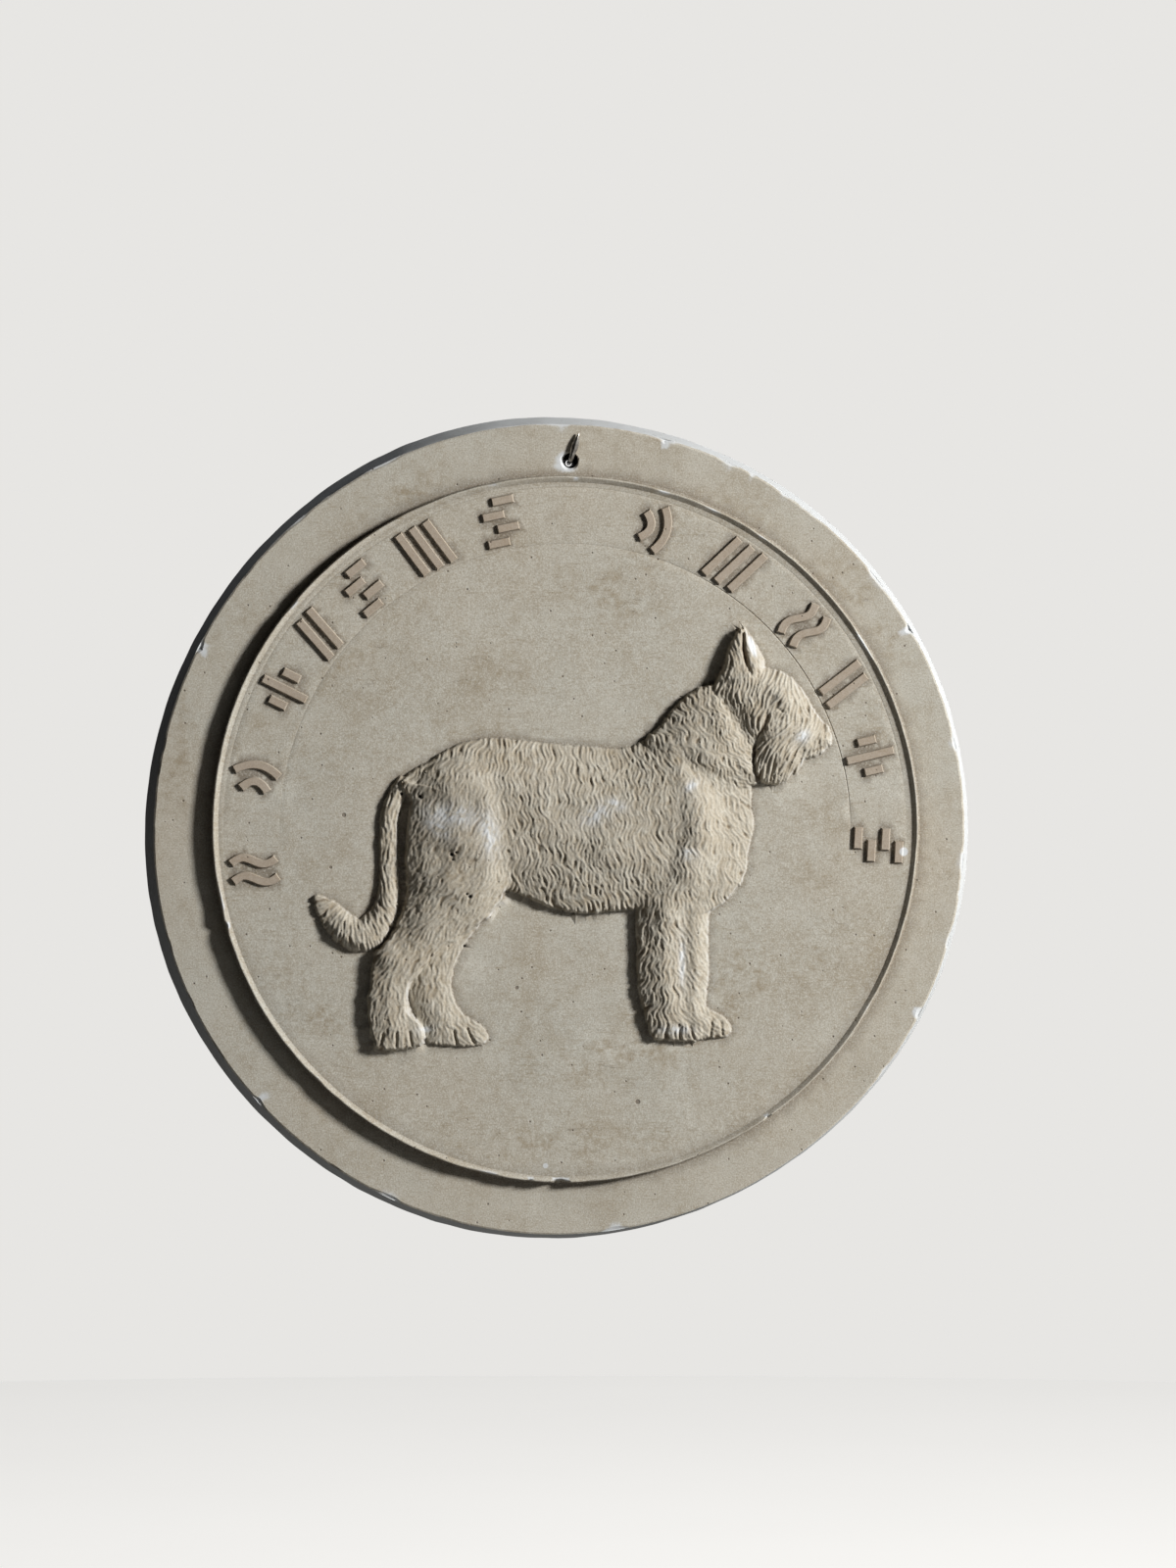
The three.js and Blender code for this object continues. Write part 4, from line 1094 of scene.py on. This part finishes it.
def cast_mesh():
    """The closed mesh of the casting with its finish values."""
    front, values, faces, outer, mouth = build_front()
    middle = front[faces].mean(axis=1)[:, :2]
    faces = faces[inside(middle, front[outer, :2]) & ~inside(middle, front[mouth, :2])]
    sides, bore = side_rows(), bore_rows(len(mouth))
    added = np.vstack(sides + bore)
    points = np.vstack([front, added])
    side_quads, edge = walled(outer, sides, len(front))
    bore_quads, bore_end = walled(mouth[::-1], bore, len(front) + sum(map(len, sides)))
    back = back_triangles(points, edge, bore_end)
    on_back = added[:, 2] == 0
    in_bore = (np.hypot(*(added[:, :2] - HOLE_UV).T) < HOLE_RADIUS) & ~on_back
    bare = np.where(on_back, BACK_BARE, np.where(in_bore, 0, SIDE_BARE))
    for name, value in values.items():
        # The bore is painted near black with the pit colour, as its shade
        beyond = {"bare": bare, "pit": 1.0 * in_bore}.get(name, 0.0)
        values[name] = np.concatenate([value, np.broadcast_to(beyond, len(added))])
    polygons = [part.tolist() for part in (faces, side_quads, bore_quads, back)]
    return points, sum(polygons, []), values


def mark_sharp(mesh, on_dog):
    """Marks sharp edges: small turns on the plain casting, only large ones on the coat."""
    work = bmesh.new()
    work.from_mesh(mesh)
    for edge in work.edges:
        coated = any(on_dog[corner.index] > COATED for corner in edge.verts)
        edge.smooth = edge.calc_face_angle(0) < (COAT_CREASE if coated else PLAIN_CREASE)
    for face in work.faces:
        face.smooth = True
    work.to_mesh(mesh)
    work.free()


def to_row_frame(points):
    """Metres in the row frame from u, v and h in mm."""
    u, v, h = np.asarray(points).T
    return np.column_stack([CENTRE[0] + u * MM, -h * MM, CENTRE[2] + v * MM])


def new_piece(name, points, faces):
    mesh = bpy.data.meshes.new(name)
    mesh.from_pydata(np.asarray(points).tolist(), [], faces)
    mesh.validate()
    mesh.update()
    piece = bpy.data.objects.new(name, mesh)
    bpy.context.scene.collection.objects.link(piece)
    return piece


def set_values(piece, values):
    """Stores the finish values on the points of a piece, for its material to read."""
    for name, value in values.items():
        attribute = piece.data.attributes.new(name, "FLOAT", "POINT")
        attribute.data.foreach_set("value", np.asarray(value, np.float32))


# Materials

class Nodes:
    """Adds shader nodes to one tree and links them."""

    def __init__(self, tree):
        self.tree = tree

    def add(self, kind, feeds=None, **settings):
        """A node with its settings; feeds are plain values or links, by socket name or number."""
        node = self.tree.nodes.new(kind)
        for key, value in settings.items():
            setattr(node, key, value)
        for socket, value in (feeds or {}).items():
            if isinstance(value, bpy.types.NodeSocket):
                self.tree.links.new(value, node.inputs[socket])
            else:
                node.inputs[socket].default_value = value
        return node

    def value_of(self, name):
        """A finish value that is stored on the points."""
        return self.add("ShaderNodeAttribute", attribute_name=name).outputs["Fac"]

    def mixed(self, factor, first, second):
        """A colour between two."""
        feeds = {0: factor, 6: first, 7: second}
        node = self.add("ShaderNodeMix", feeds, data_type="RGBA", clamp_factor=True)
        return node.outputs[2]

    def layered(self, colour, layers):
        """Lays tints over a colour, one after the other, each with its mask."""
        for mask, tint in layers:
            colour = self.mixed(mask, colour, tint)
        return colour

    def maths(self, operation, first, second=0.0, clamp=False):
        feeds = {0: first, 1: second}
        return self.add("ShaderNodeMath", feeds, operation=operation, use_clamp=clamp).outputs[0]

    def times(self, *values):
        """The product of several values."""
        return functools.reduce(functools.partial(self.maths, "MULTIPLY"), values)

    def levels(self, value, low, high):
        """0 at the low level and 1 at the high one, with soft ends. High may be below low."""
        feeds = {"Value": value, "From Min": low, "From Max": high}
        return self.add(
            "ShaderNodeMapRange", feeds, interpolation_type="SMOOTHSTEP",
        ).outputs["Result"]

    def noise(self, place, scale, detail=2.0, roughness=0.5):
        feeds = {"Vector": place, "Scale": scale, "Detail": detail, "Roughness": roughness}
        return self.add("ShaderNodeTexNoise", feeds).outputs["Fac"]

    def mottle(self, place, patch_scale, grain_scale, contrast):
        """Places the shared mottle with its own values."""
        feeds = {
            "Place": place, "Patch Scale": patch_scale, "Grain Scale": grain_scale,
            "Contrast": contrast,
        }
        return self.add("ShaderNodeGroup", feeds, node_tree=mottle_group()).outputs

    def stretched(self, place, turn, scale):
        """Places turned in the plaque's plane and stretched, for streaks that run one way."""
        feeds = {"Vector": place, "Rotation": (0, turn * DEGREE, 0), "Scale": scale}
        return self.add("ShaderNodeMapping", feeds).outputs["Vector"]

    def hair_lines(self, place, scale, width):
        """Thin wandering lines, where soft noise crosses its middle level."""
        level = self.maths("SUBTRACT", self.noise(place, scale, 1.0), 0.5)
        return self.levels(self.maths("ABSOLUTE", level), width, 0.0)

    def speckles(self, place, scale, size, share):
        """Small round dots in a share of even cells."""
        cells = self.add("ShaderNodeTexVoronoi", {"Vector": place, "Scale": scale})
        parts = self.add("ShaderNodeSeparateColor", {0: cells.outputs["Color"]})
        dot = self.levels(cells.outputs["Distance"], size, 0.4 * size)
        return self.times(dot, self.maths("LESS_THAN", parts.outputs[0], share))

    def marks(self, place, spots_at):
        """Small round marks on the front, each given as u, v and radius in mm."""
        flat = self.stretched(place, 0, (1, 0, 1))
        mask = 0.0
        for u, v, radius in spots_at:
            feeds = {0: flat, 1: (CENTRE[0] + u * MM, 0, CENTRE[2] + v * MM)}
            away = self.add("ShaderNodeVectorMath", feeds, operation="DISTANCE").outputs["Value"]
            near = self.levels(away, 1.2 * radius * MM, 0.8 * radius * MM)
            mask = self.maths("MAXIMUM", mask, near)
        return mask


def mottle_group():
    """Soft patches and a finer grain over them, as masks from 0 to 1."""
    existing = bpy.data.node_groups.get("mottle")
    if existing:
        return existing
    group = bpy.data.node_groups.new("mottle", "ShaderNodeTree")
    socket = group.interface.new_socket
    socket("Place", in_out="INPUT", socket_type="NodeSocketVector")
    for name, default in (("Patch Scale", 30.0), ("Grain Scale", 900.0), ("Contrast", 2.0)):
        socket(name, in_out="INPUT", socket_type="NodeSocketFloat").default_value = default
    for name in ("Patches", "Grain"):
        socket(name, in_out="OUTPUT", socket_type="NodeSocketFloat")
    nodes = Nodes(group)
    start = nodes.add("NodeGroupInput").outputs
    patches = nodes.noise(start["Place"], start["Patch Scale"], 5, 0.62)
    grain = nodes.noise(start["Place"], start["Grain Scale"], 3, 0.7)
    feeds = {0: nodes.maths("SUBTRACT", patches, 0.5), 1: start["Contrast"], 2: 0.5}
    clear = nodes.add("ShaderNodeMath", feeds, operation="MULTIPLY_ADD", use_clamp=True)
    nodes.add("NodeGroupOutput", {"Patches": clear.outputs[0], "Grain": grain})
    return group


def opaque(colour):
    return tuple(colour) + (1,)


def new_material(name):
    """An empty material, its nodes, and places in metres in the row frame."""
    material = bpy.data.materials.new(name)
    material.use_nodes = True
    material.node_tree.nodes.clear()
    nodes = Nodes(material.node_tree)
    return material, nodes, nodes.add("ShaderNodeTexCoord").outputs["Object"]


def add_surface(nodes, feeds):
    """Ends a material with one surface shader."""
    shader = nodes.add("ShaderNodeBsdfPrincipled", feeds)
    nodes.add("ShaderNodeOutputMaterial", {"Surface": shader.outputs["BSDF"]})


def patina_layers(nodes, place, tints, small, close):
    """Brown wash and pale clouds, down to the grain of the sand."""
    washed = nodes.levels(nodes.noise(place, 38, 8.0, 0.68), 0.52, 0.72)
    cloud = nodes.levels(nodes.noise(place, 27, 7.0, 0.7), 0.56, 0.74)
    sand = nodes.noise(place, 1700, 3.0, 0.75)
    return (
        (nodes.times(small, close["Patches"], 0.62), tints["wash"]),
        (nodes.times(washed, 0.42), tints["wash"]),
        (nodes.times(cloud, 0.6), tints["high"]),
        (nodes.times(nodes.levels(sand, 0.5, 0.64), 0.48), tints["wash"]),
        (nodes.times(nodes.levels(sand, 0.48, 0.36), 0.6), tints["high"]),
    )


def stain_layers(nodes, place, tints, small, masks):
    """Brown stains with ragged edges, slanting streaks, and hair lines where it is stained. On the
    coat the stain mask also paints shade.
    """
    stain = nodes.times(masks["stain"], nodes.levels(small, 0.1, 0.9))
    ragged = nodes.levels(nodes.noise(place, 90, 6.0, 0.7), 0.42, 0.62)
    streaks = nodes.noise(nodes.stretched(place, 32, (1, 1, 9)), 150, 4.0, 0.65)
    hairs = nodes.maths(
        "ADD",
        nodes.hair_lines(nodes.stretched(place, -38, (1, 1, 2)), 60, 0.005),
        nodes.hair_lines(nodes.stretched(place, 50, (1, 1, 3)), 85, 0.006),
    )
    shown = nodes.maths("ADD", nodes.times(stain, 0.5), 0.1)
    return (
        (nodes.times(stain, ragged, 0.72), tints["wash"]),
        # On the coat, brown patina and painted shade on the tail stem and beside the thigh
        (nodes.times(stain, masks["coat"], 0.22), tints["wash"]),
        (nodes.times(nodes.levels(streaks, 0.56, 0.7), 0.45), tints["wash"]),
        (nodes.times(hairs, shown), tints["soil"]),
    )


def relief_layers(nodes, tints, small, close, masks):
    """Pale tops of the locks, partly a painted highlight, brown hollows, the deepest grooves
    darkened as painted shade, brown strokes, and soil with painted shade along the edges.
    """
    ridge = nodes.times(masks["coat"], nodes.maths("SUBTRACT", 1.0, masks["groove"]))
    hollow = nodes.times(masks["groove"], nodes.maths("ADD", small, 0.55), 0.7)
    # Soil along the edges, with painted shade at the foot of the walls and the step
    soil = nodes.times(masks["soil"], nodes.levels(close["Grain"], 0.25, 0.55), 0.85)
    return (
        # Paler tops of the locks: wash rubbed off, and a painted highlight
        (nodes.times(ridge, 0.42), tints["high"]),
        (nodes.times(masks["coat"], 0.06), tints["wash"]),
        (hollow, tints["wash"]),
        # The deepest grooves darkened further with the soil colour, as painted shade
        (nodes.times(nodes.levels(masks["groove"], 0.55, 1.0), 0.6), tints["soil"]),
        (nodes.times(masks["stroke"], 0.6), tints["stroke"]),
        (soil, tints["soil"]),
    )


def wear_layers(nodes, place, tints, small, masks, dots):
    """Worn and chipped places with painted highlights, round marks, specks, and pits and the bore
    painted near black as shade.
    """
    # Worn places and the painted highlight on right-hand edges, in the pale plaster colour
    worn = nodes.times(masks["worn"], nodes.levels(small, 0.15, 0.65))
    high = nodes.maths("SUBTRACT", 1.25, masks["groove"], clamp=True)
    chipped = nodes.maths("ADD", masks["bare"], nodes.times(small, 0.3))
    return (
        (nodes.times(worn, high), tints["bare"]),
        (nodes.times(nodes.levels(chipped, 0.35, 0.9), 0.85), tints["bare"]),
        (nodes.times(nodes.marks(place, PALE_MARKS), 0.8), tints["bare"]),
        (nodes.times(dots, 0.7), tints["soil"]),
        # Pits and the bore painted near black, as painted shade
        (nodes.levels(masks["pit"], 0.35, 0.6), PIT_SHADE_COLOUR),
    )


def plaster_material(finish):
    """Dry cast plaster, its brown wash gathered in the hollows and worn off the high places, with
    shade and highlights painted into its colour as well.
    """
    material, nodes, place = new_material("aged_plaster")
    masks = {name: nodes.value_of(name) for name in FINISH_VALUES}
    tints = {name: opaque(getattr(finish, f"{name}_colour")) for name in PLASTER_TINTS}
    broad = nodes.mottle(place, 11, 330, 2.4)["Patches"]
    close = nodes.mottle(place, 62, 1400, 2.6)
    small = nodes.mottle(place, 300, 4200, 2.6)["Patches"]
    specks = nodes.speckles(place, 250, 0.13, 0.3)
    dots = nodes.maths("MAXIMUM", specks, nodes.marks(place, DARK_MARKS))
    colour = nodes.layered(nodes.mixed(broad, tints["plaster"], tints["warm"]), (
        *patina_layers(nodes, place, tints, small, close),
        *stain_layers(nodes, place, tints, small, masks),
        *relief_layers(nodes, tints, small, close, masks),
        *wear_layers(nodes, place, tints, small, masks, dots),
    ))
    rough = nodes.maths("SUBTRACT", 0.9, nodes.times(masks["worn"], 0.2))
    rough = nodes.maths("SUBTRACT", rough, nodes.times(small, 0.12))
    fibre = nodes.times(nodes.noise(place, 900, 4.0, 0.7), 0.6)
    height = nodes.maths("ADD", fibre, nodes.times(close["Patches"], 0.5))
    height = nodes.maths("SUBTRACT", height, nodes.times(dots, 1.2))
    feeds = {"Strength": 0.6, "Distance": 0.25 * MM, "Height": height}
    bump = nodes.add("ShaderNodeBump", feeds).outputs["Normal"]
    add_surface(nodes, {"IOR": 1.42, "Base Color": colour, "Roughness": rough, "Normal": bump})
    return material


def steel_material(finish):
    """Dull bright steel, darkened in patches."""
    material, nodes, place = new_material("worn_steel")
    wear = nodes.mottle(place, 420, 2600, 3)
    colour = nodes.mixed(wear["Patches"], opaque(finish.steel_colour), DARK_STEEL)
    rough = nodes.maths("ADD", nodes.times(wear["Grain"], 0.3), 0.22)
    add_surface(nodes, {"Metallic": 1.0, "Base Color": colour, "Roughness": rough})
    return material


def floor_material(finish):
    """A plain pale floor that hardly throws light back on the plaque."""
    material, nodes, place = new_material("pale_floor")
    shade = tuple(0.96 * c for c in finish.floor_colour)
    cloud = nodes.mottle(place, 3, 60, 1)["Patches"]
    colour = nodes.mixed(cloud, opaque(finish.floor_colour), opaque(shade))
    seen = nodes.add("ShaderNodeLightPath").outputs["Is Camera Ray"]
    dim = nodes.mixed(0.75, colour, (0, 0, 0, 1))
    add_surface(nodes, {
        "Base Color": nodes.mixed(seen, dim, colour), "Roughness": 0.9,
        "Emission Color": colour, "Emission Strength": nodes.times(seen, FLOOR_GLOW),
    })
    return material


# Stage

def add_floor(finish):
    steps = 96
    level = np.full(steps, CASTING_LOW[2] - FLOOR_DROP)
    points = np.column_stack([polar(FLOOR_RADIUS, even_angles(steps)), level])
    floor = new_piece("floor", points, [list(range(steps))])
    floor.data.materials.append(floor_material(finish))


def add_light(name, kind, place, heading, **settings):
    """A light at a place that shines along a heading."""
    light = bpy.data.lights.new(name, kind)
    for key, value in settings.items():
        setattr(light, key, value)
    lamp = bpy.data.objects.new(name, light)
    lamp.location = place
    lamp.rotation_euler = heading.to_track_quat("-Z", "Y").to_euler()
    bpy.context.scene.collection.objects.link(lamp)


def add_lights(view, centre):
    """A hard key light low over the right, a weak one above, and even light from behind."""
    rise, turn = view.light_rise, view.light_turn
    away = KEY_DISTANCE * Vector((
        math.cos(rise) * math.cos(turn), -math.sin(rise), math.cos(rise) * math.sin(turn),
    ))
    add_light(
        "key_light", "AREA", centre + away, -away, shape="DISK", size=0.45, energy=95,
        color=(1, 0.99, 0.965),
    )
    add_light(
        "top_light", "AREA", centre + Vector((0.2, 1.1, 1.5)), Vector((-0.2, -0.4, -1.9)),
        shape="DISK", size=1.4, energy=5, color=(0.96, 0.98, 1),
    )
    low_heading = Vector((-0.05, -1, -0.1))
    add_light("back_light", "SUN", centre, low_heading, energy=1.0, angle=20 * DEGREE)


def add_world():
    """Pale walls to the eye, with hardly any light of their own."""
    world = bpy.data.worlds.new("studio")
    world.use_nodes = True
    world.node_tree.nodes.clear()
    nodes = Nodes(world.node_tree)
    dim, seen = (
        nodes.add("ShaderNodeBackground", {"Color": colour, "Strength": strength}).outputs[0]
        for colour, strength in ((WORLD_COLOUR, WORLD_LIGHT), (WALL_COLOUR, 1.0))
    )
    camera_ray = nodes.add("ShaderNodeLightPath").outputs["Is Camera Ray"]
    blend = nodes.add("ShaderNodeMixShader", {"Fac": camera_ray, 1: dim, 2: seen})
    nodes.add("ShaderNodeOutputWorld", {"Surface": blend.outputs["Shader"]})
    bpy.context.scene.world = world
    bpy.context.scene.view_settings.view_transform = "Standard"


def add_camera(view, centre):
    data = bpy.data.cameras.new("camera")
    data.sensor_fit = "VERTICAL"
    data.lens = data.sensor_height * view.distance / view.frame_height
    camera = bpy.data.objects.new("camera", data)
    target = centre + Vector((AIM[0], 0, AIM[1]))
    away = Vector((-math.sin(view.side_angle), -math.cos(view.side_angle), 0))
    camera.location = target + away * view.distance
    camera.rotation_euler = (target - camera.location).to_track_quat("-Z", "Y").to_euler()
    bpy.context.scene.collection.objects.link(camera)
    bpy.context.scene.camera = camera


# Add-on

def colour_setting(name, description, default):
    return bpy.props.FloatVectorProperty(
        name=name, description=description, subtype="COLOR", size=3, min=0, max=1, default=default,
    )


def angle_setting(name, description, degrees):
    return bpy.props.FloatProperty(
        name=name, description=description, default=degrees * DEGREE, subtype="ANGLE",
        unit="ROTATION",
    )


def length_setting(name, description, default, low):
    return bpy.props.FloatProperty(
        name=name, description=description, default=default, min=low, subtype="DISTANCE",
        unit="LENGTH",
    )


class PlaqueFinish(bpy.types.PropertyGroup):
    """Colours of the plaque, its nail and the floor."""

    plaster_colour: colour_setting("Plaster", "Greyer parts of the plaster", (0.555, 0.545, 0.49))
    warm_colour: colour_setting("Warm plaster", "Warmer parts of the plaster", (0.565, 0.52, 0.44))
    wash_colour: colour_setting("Wash", "Brown wash in the hollows", (0.33, 0.262, 0.172))
    # The soil colour also paints shade at the foot of the walls and in the deepest grooves
    soil_colour: colour_setting("Soil", "Dirt along the edges", (0.13, 0.095, 0.065))
    # The pale colour of the lock tops is partly a painted highlight
    high_colour: colour_setting("High places", "Paler tops of the locks", (0.72, 0.70, 0.63))
    # The pale plaster colour also paints the highlights on right-hand edges and on the ear
    bare_colour: colour_setting("Bare plaster", "Where the wash has worn off", (0.72, 0.75, 0.78))
    stroke_colour: colour_setting("Strokes", "Tops of the raised strokes", (0.41, 0.315, 0.235))
    steel_colour: colour_setting("Steel", "Bright parts of the nail", (0.62, 0.60, 0.56))
    floor_colour: colour_setting("Floor", "The plain floor", (0.80, 0.79, 0.77))


class PlaqueView(bpy.types.PropertyGroup):
    """Where the plaque is seen from and how it is lit."""

    distance: length_setting("Distance", "From the camera to the ring's face", 2.2, 0.5)
    frame_height: length_setting("Frame height", "Height of the view at the ring's face", 0.6, 0.1)
    side_angle: angle_setting("Side angle", "How far to the left the camera stands", 2.4)
    light_turn: angle_setting("Light turn", "Turn of the key light above the right-hand side", 20)
    light_rise: angle_setting("Light rise", "How far the key light stands out from the plaque", 30)


class PLAQUE_OT_casting(bpy.types.Operator):
    """Build the plaster casting with the dog in relief"""

    bl_idname = "plaque.casting"
    bl_label = "Plaster casting"

    def execute(self, context):
        points, faces, values = cast_mesh()
        piece = new_piece("plaster_casting", to_row_frame(points), faces)
        set_values(piece, values)
        mark_sharp(piece.data, values["coat"])
        piece.data.materials.append(plaster_material(context.scene.plaque_finish))
        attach(piece, "root")
        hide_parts("plaster_plaque")
        return {"FINISHED"}


class PLAQUE_OT_nail(bpy.types.Operator):
    """Give the hanging nail its steel finish"""

    bl_idname = "plaque.nail"
    bl_label = "Hanging nail"

    def execute(self, context):
        steel = steel_material(context.scene.plaque_finish)
        for slot in frame["nodes"]["hanging_nail"].material_slots:
            slot.material = steel
        return {"FINISHED"}


class PLAQUE_OT_stage(bpy.types.Operator):
    """Set up the floor, the lights and the camera"""

    bl_idname = "plaque.stage"
    bl_label = "Floor, lights and camera"

    def execute(self, context):
        view = context.scene.plaque_view
        centre = Vector((CENTRE[0], -RING_THICKNESS * MM, CENTRE[2]))
        add_floor(context.scene.plaque_finish)
        add_lights(view, centre)
        add_world()
        add_camera(view, centre)
        return {"FINISHED"}


class PLAQUE_PT_tools(bpy.types.Panel):
    """Lists the steps that build the plaque and its colours"""

    bl_label = "Plaster plaque"
    bl_idname = "PLAQUE_PT_tools"
    bl_space_type = "VIEW_3D"
    bl_region_type = "UI"
    bl_category = "Plaque"

    def draw(self, context):
        for operator in STEPS:
            self.layout.operator(operator.bl_idname)
        for settings in (context.scene.plaque_finish, context.scene.plaque_view):
            for name in settings.__annotations__:
                self.layout.prop(settings, name)


STEPS = (PLAQUE_OT_casting, PLAQUE_OT_nail, PLAQUE_OT_stage)
CLASSES = (PlaqueFinish, PlaqueView, *STEPS, PLAQUE_PT_tools)


def register():
    for cls in CLASSES:
        bpy.utils.register_class(cls)
    bpy.types.Scene.plaque_finish = bpy.props.PointerProperty(type=PlaqueFinish)
    bpy.types.Scene.plaque_view = bpy.props.PointerProperty(type=PlaqueView)


def unregister():
    del bpy.types.Scene.plaque_view
    del bpy.types.Scene.plaque_finish
    for cls in reversed(CLASSES):
        bpy.utils.unregister_class(cls)


def main():
    register()
    bpy.ops.plaque.stage()
    bpy.ops.plaque.casting()
    bpy.ops.plaque.nail()
    bpy.context.view_layer.update()


if __name__ == "__main__":
    main()
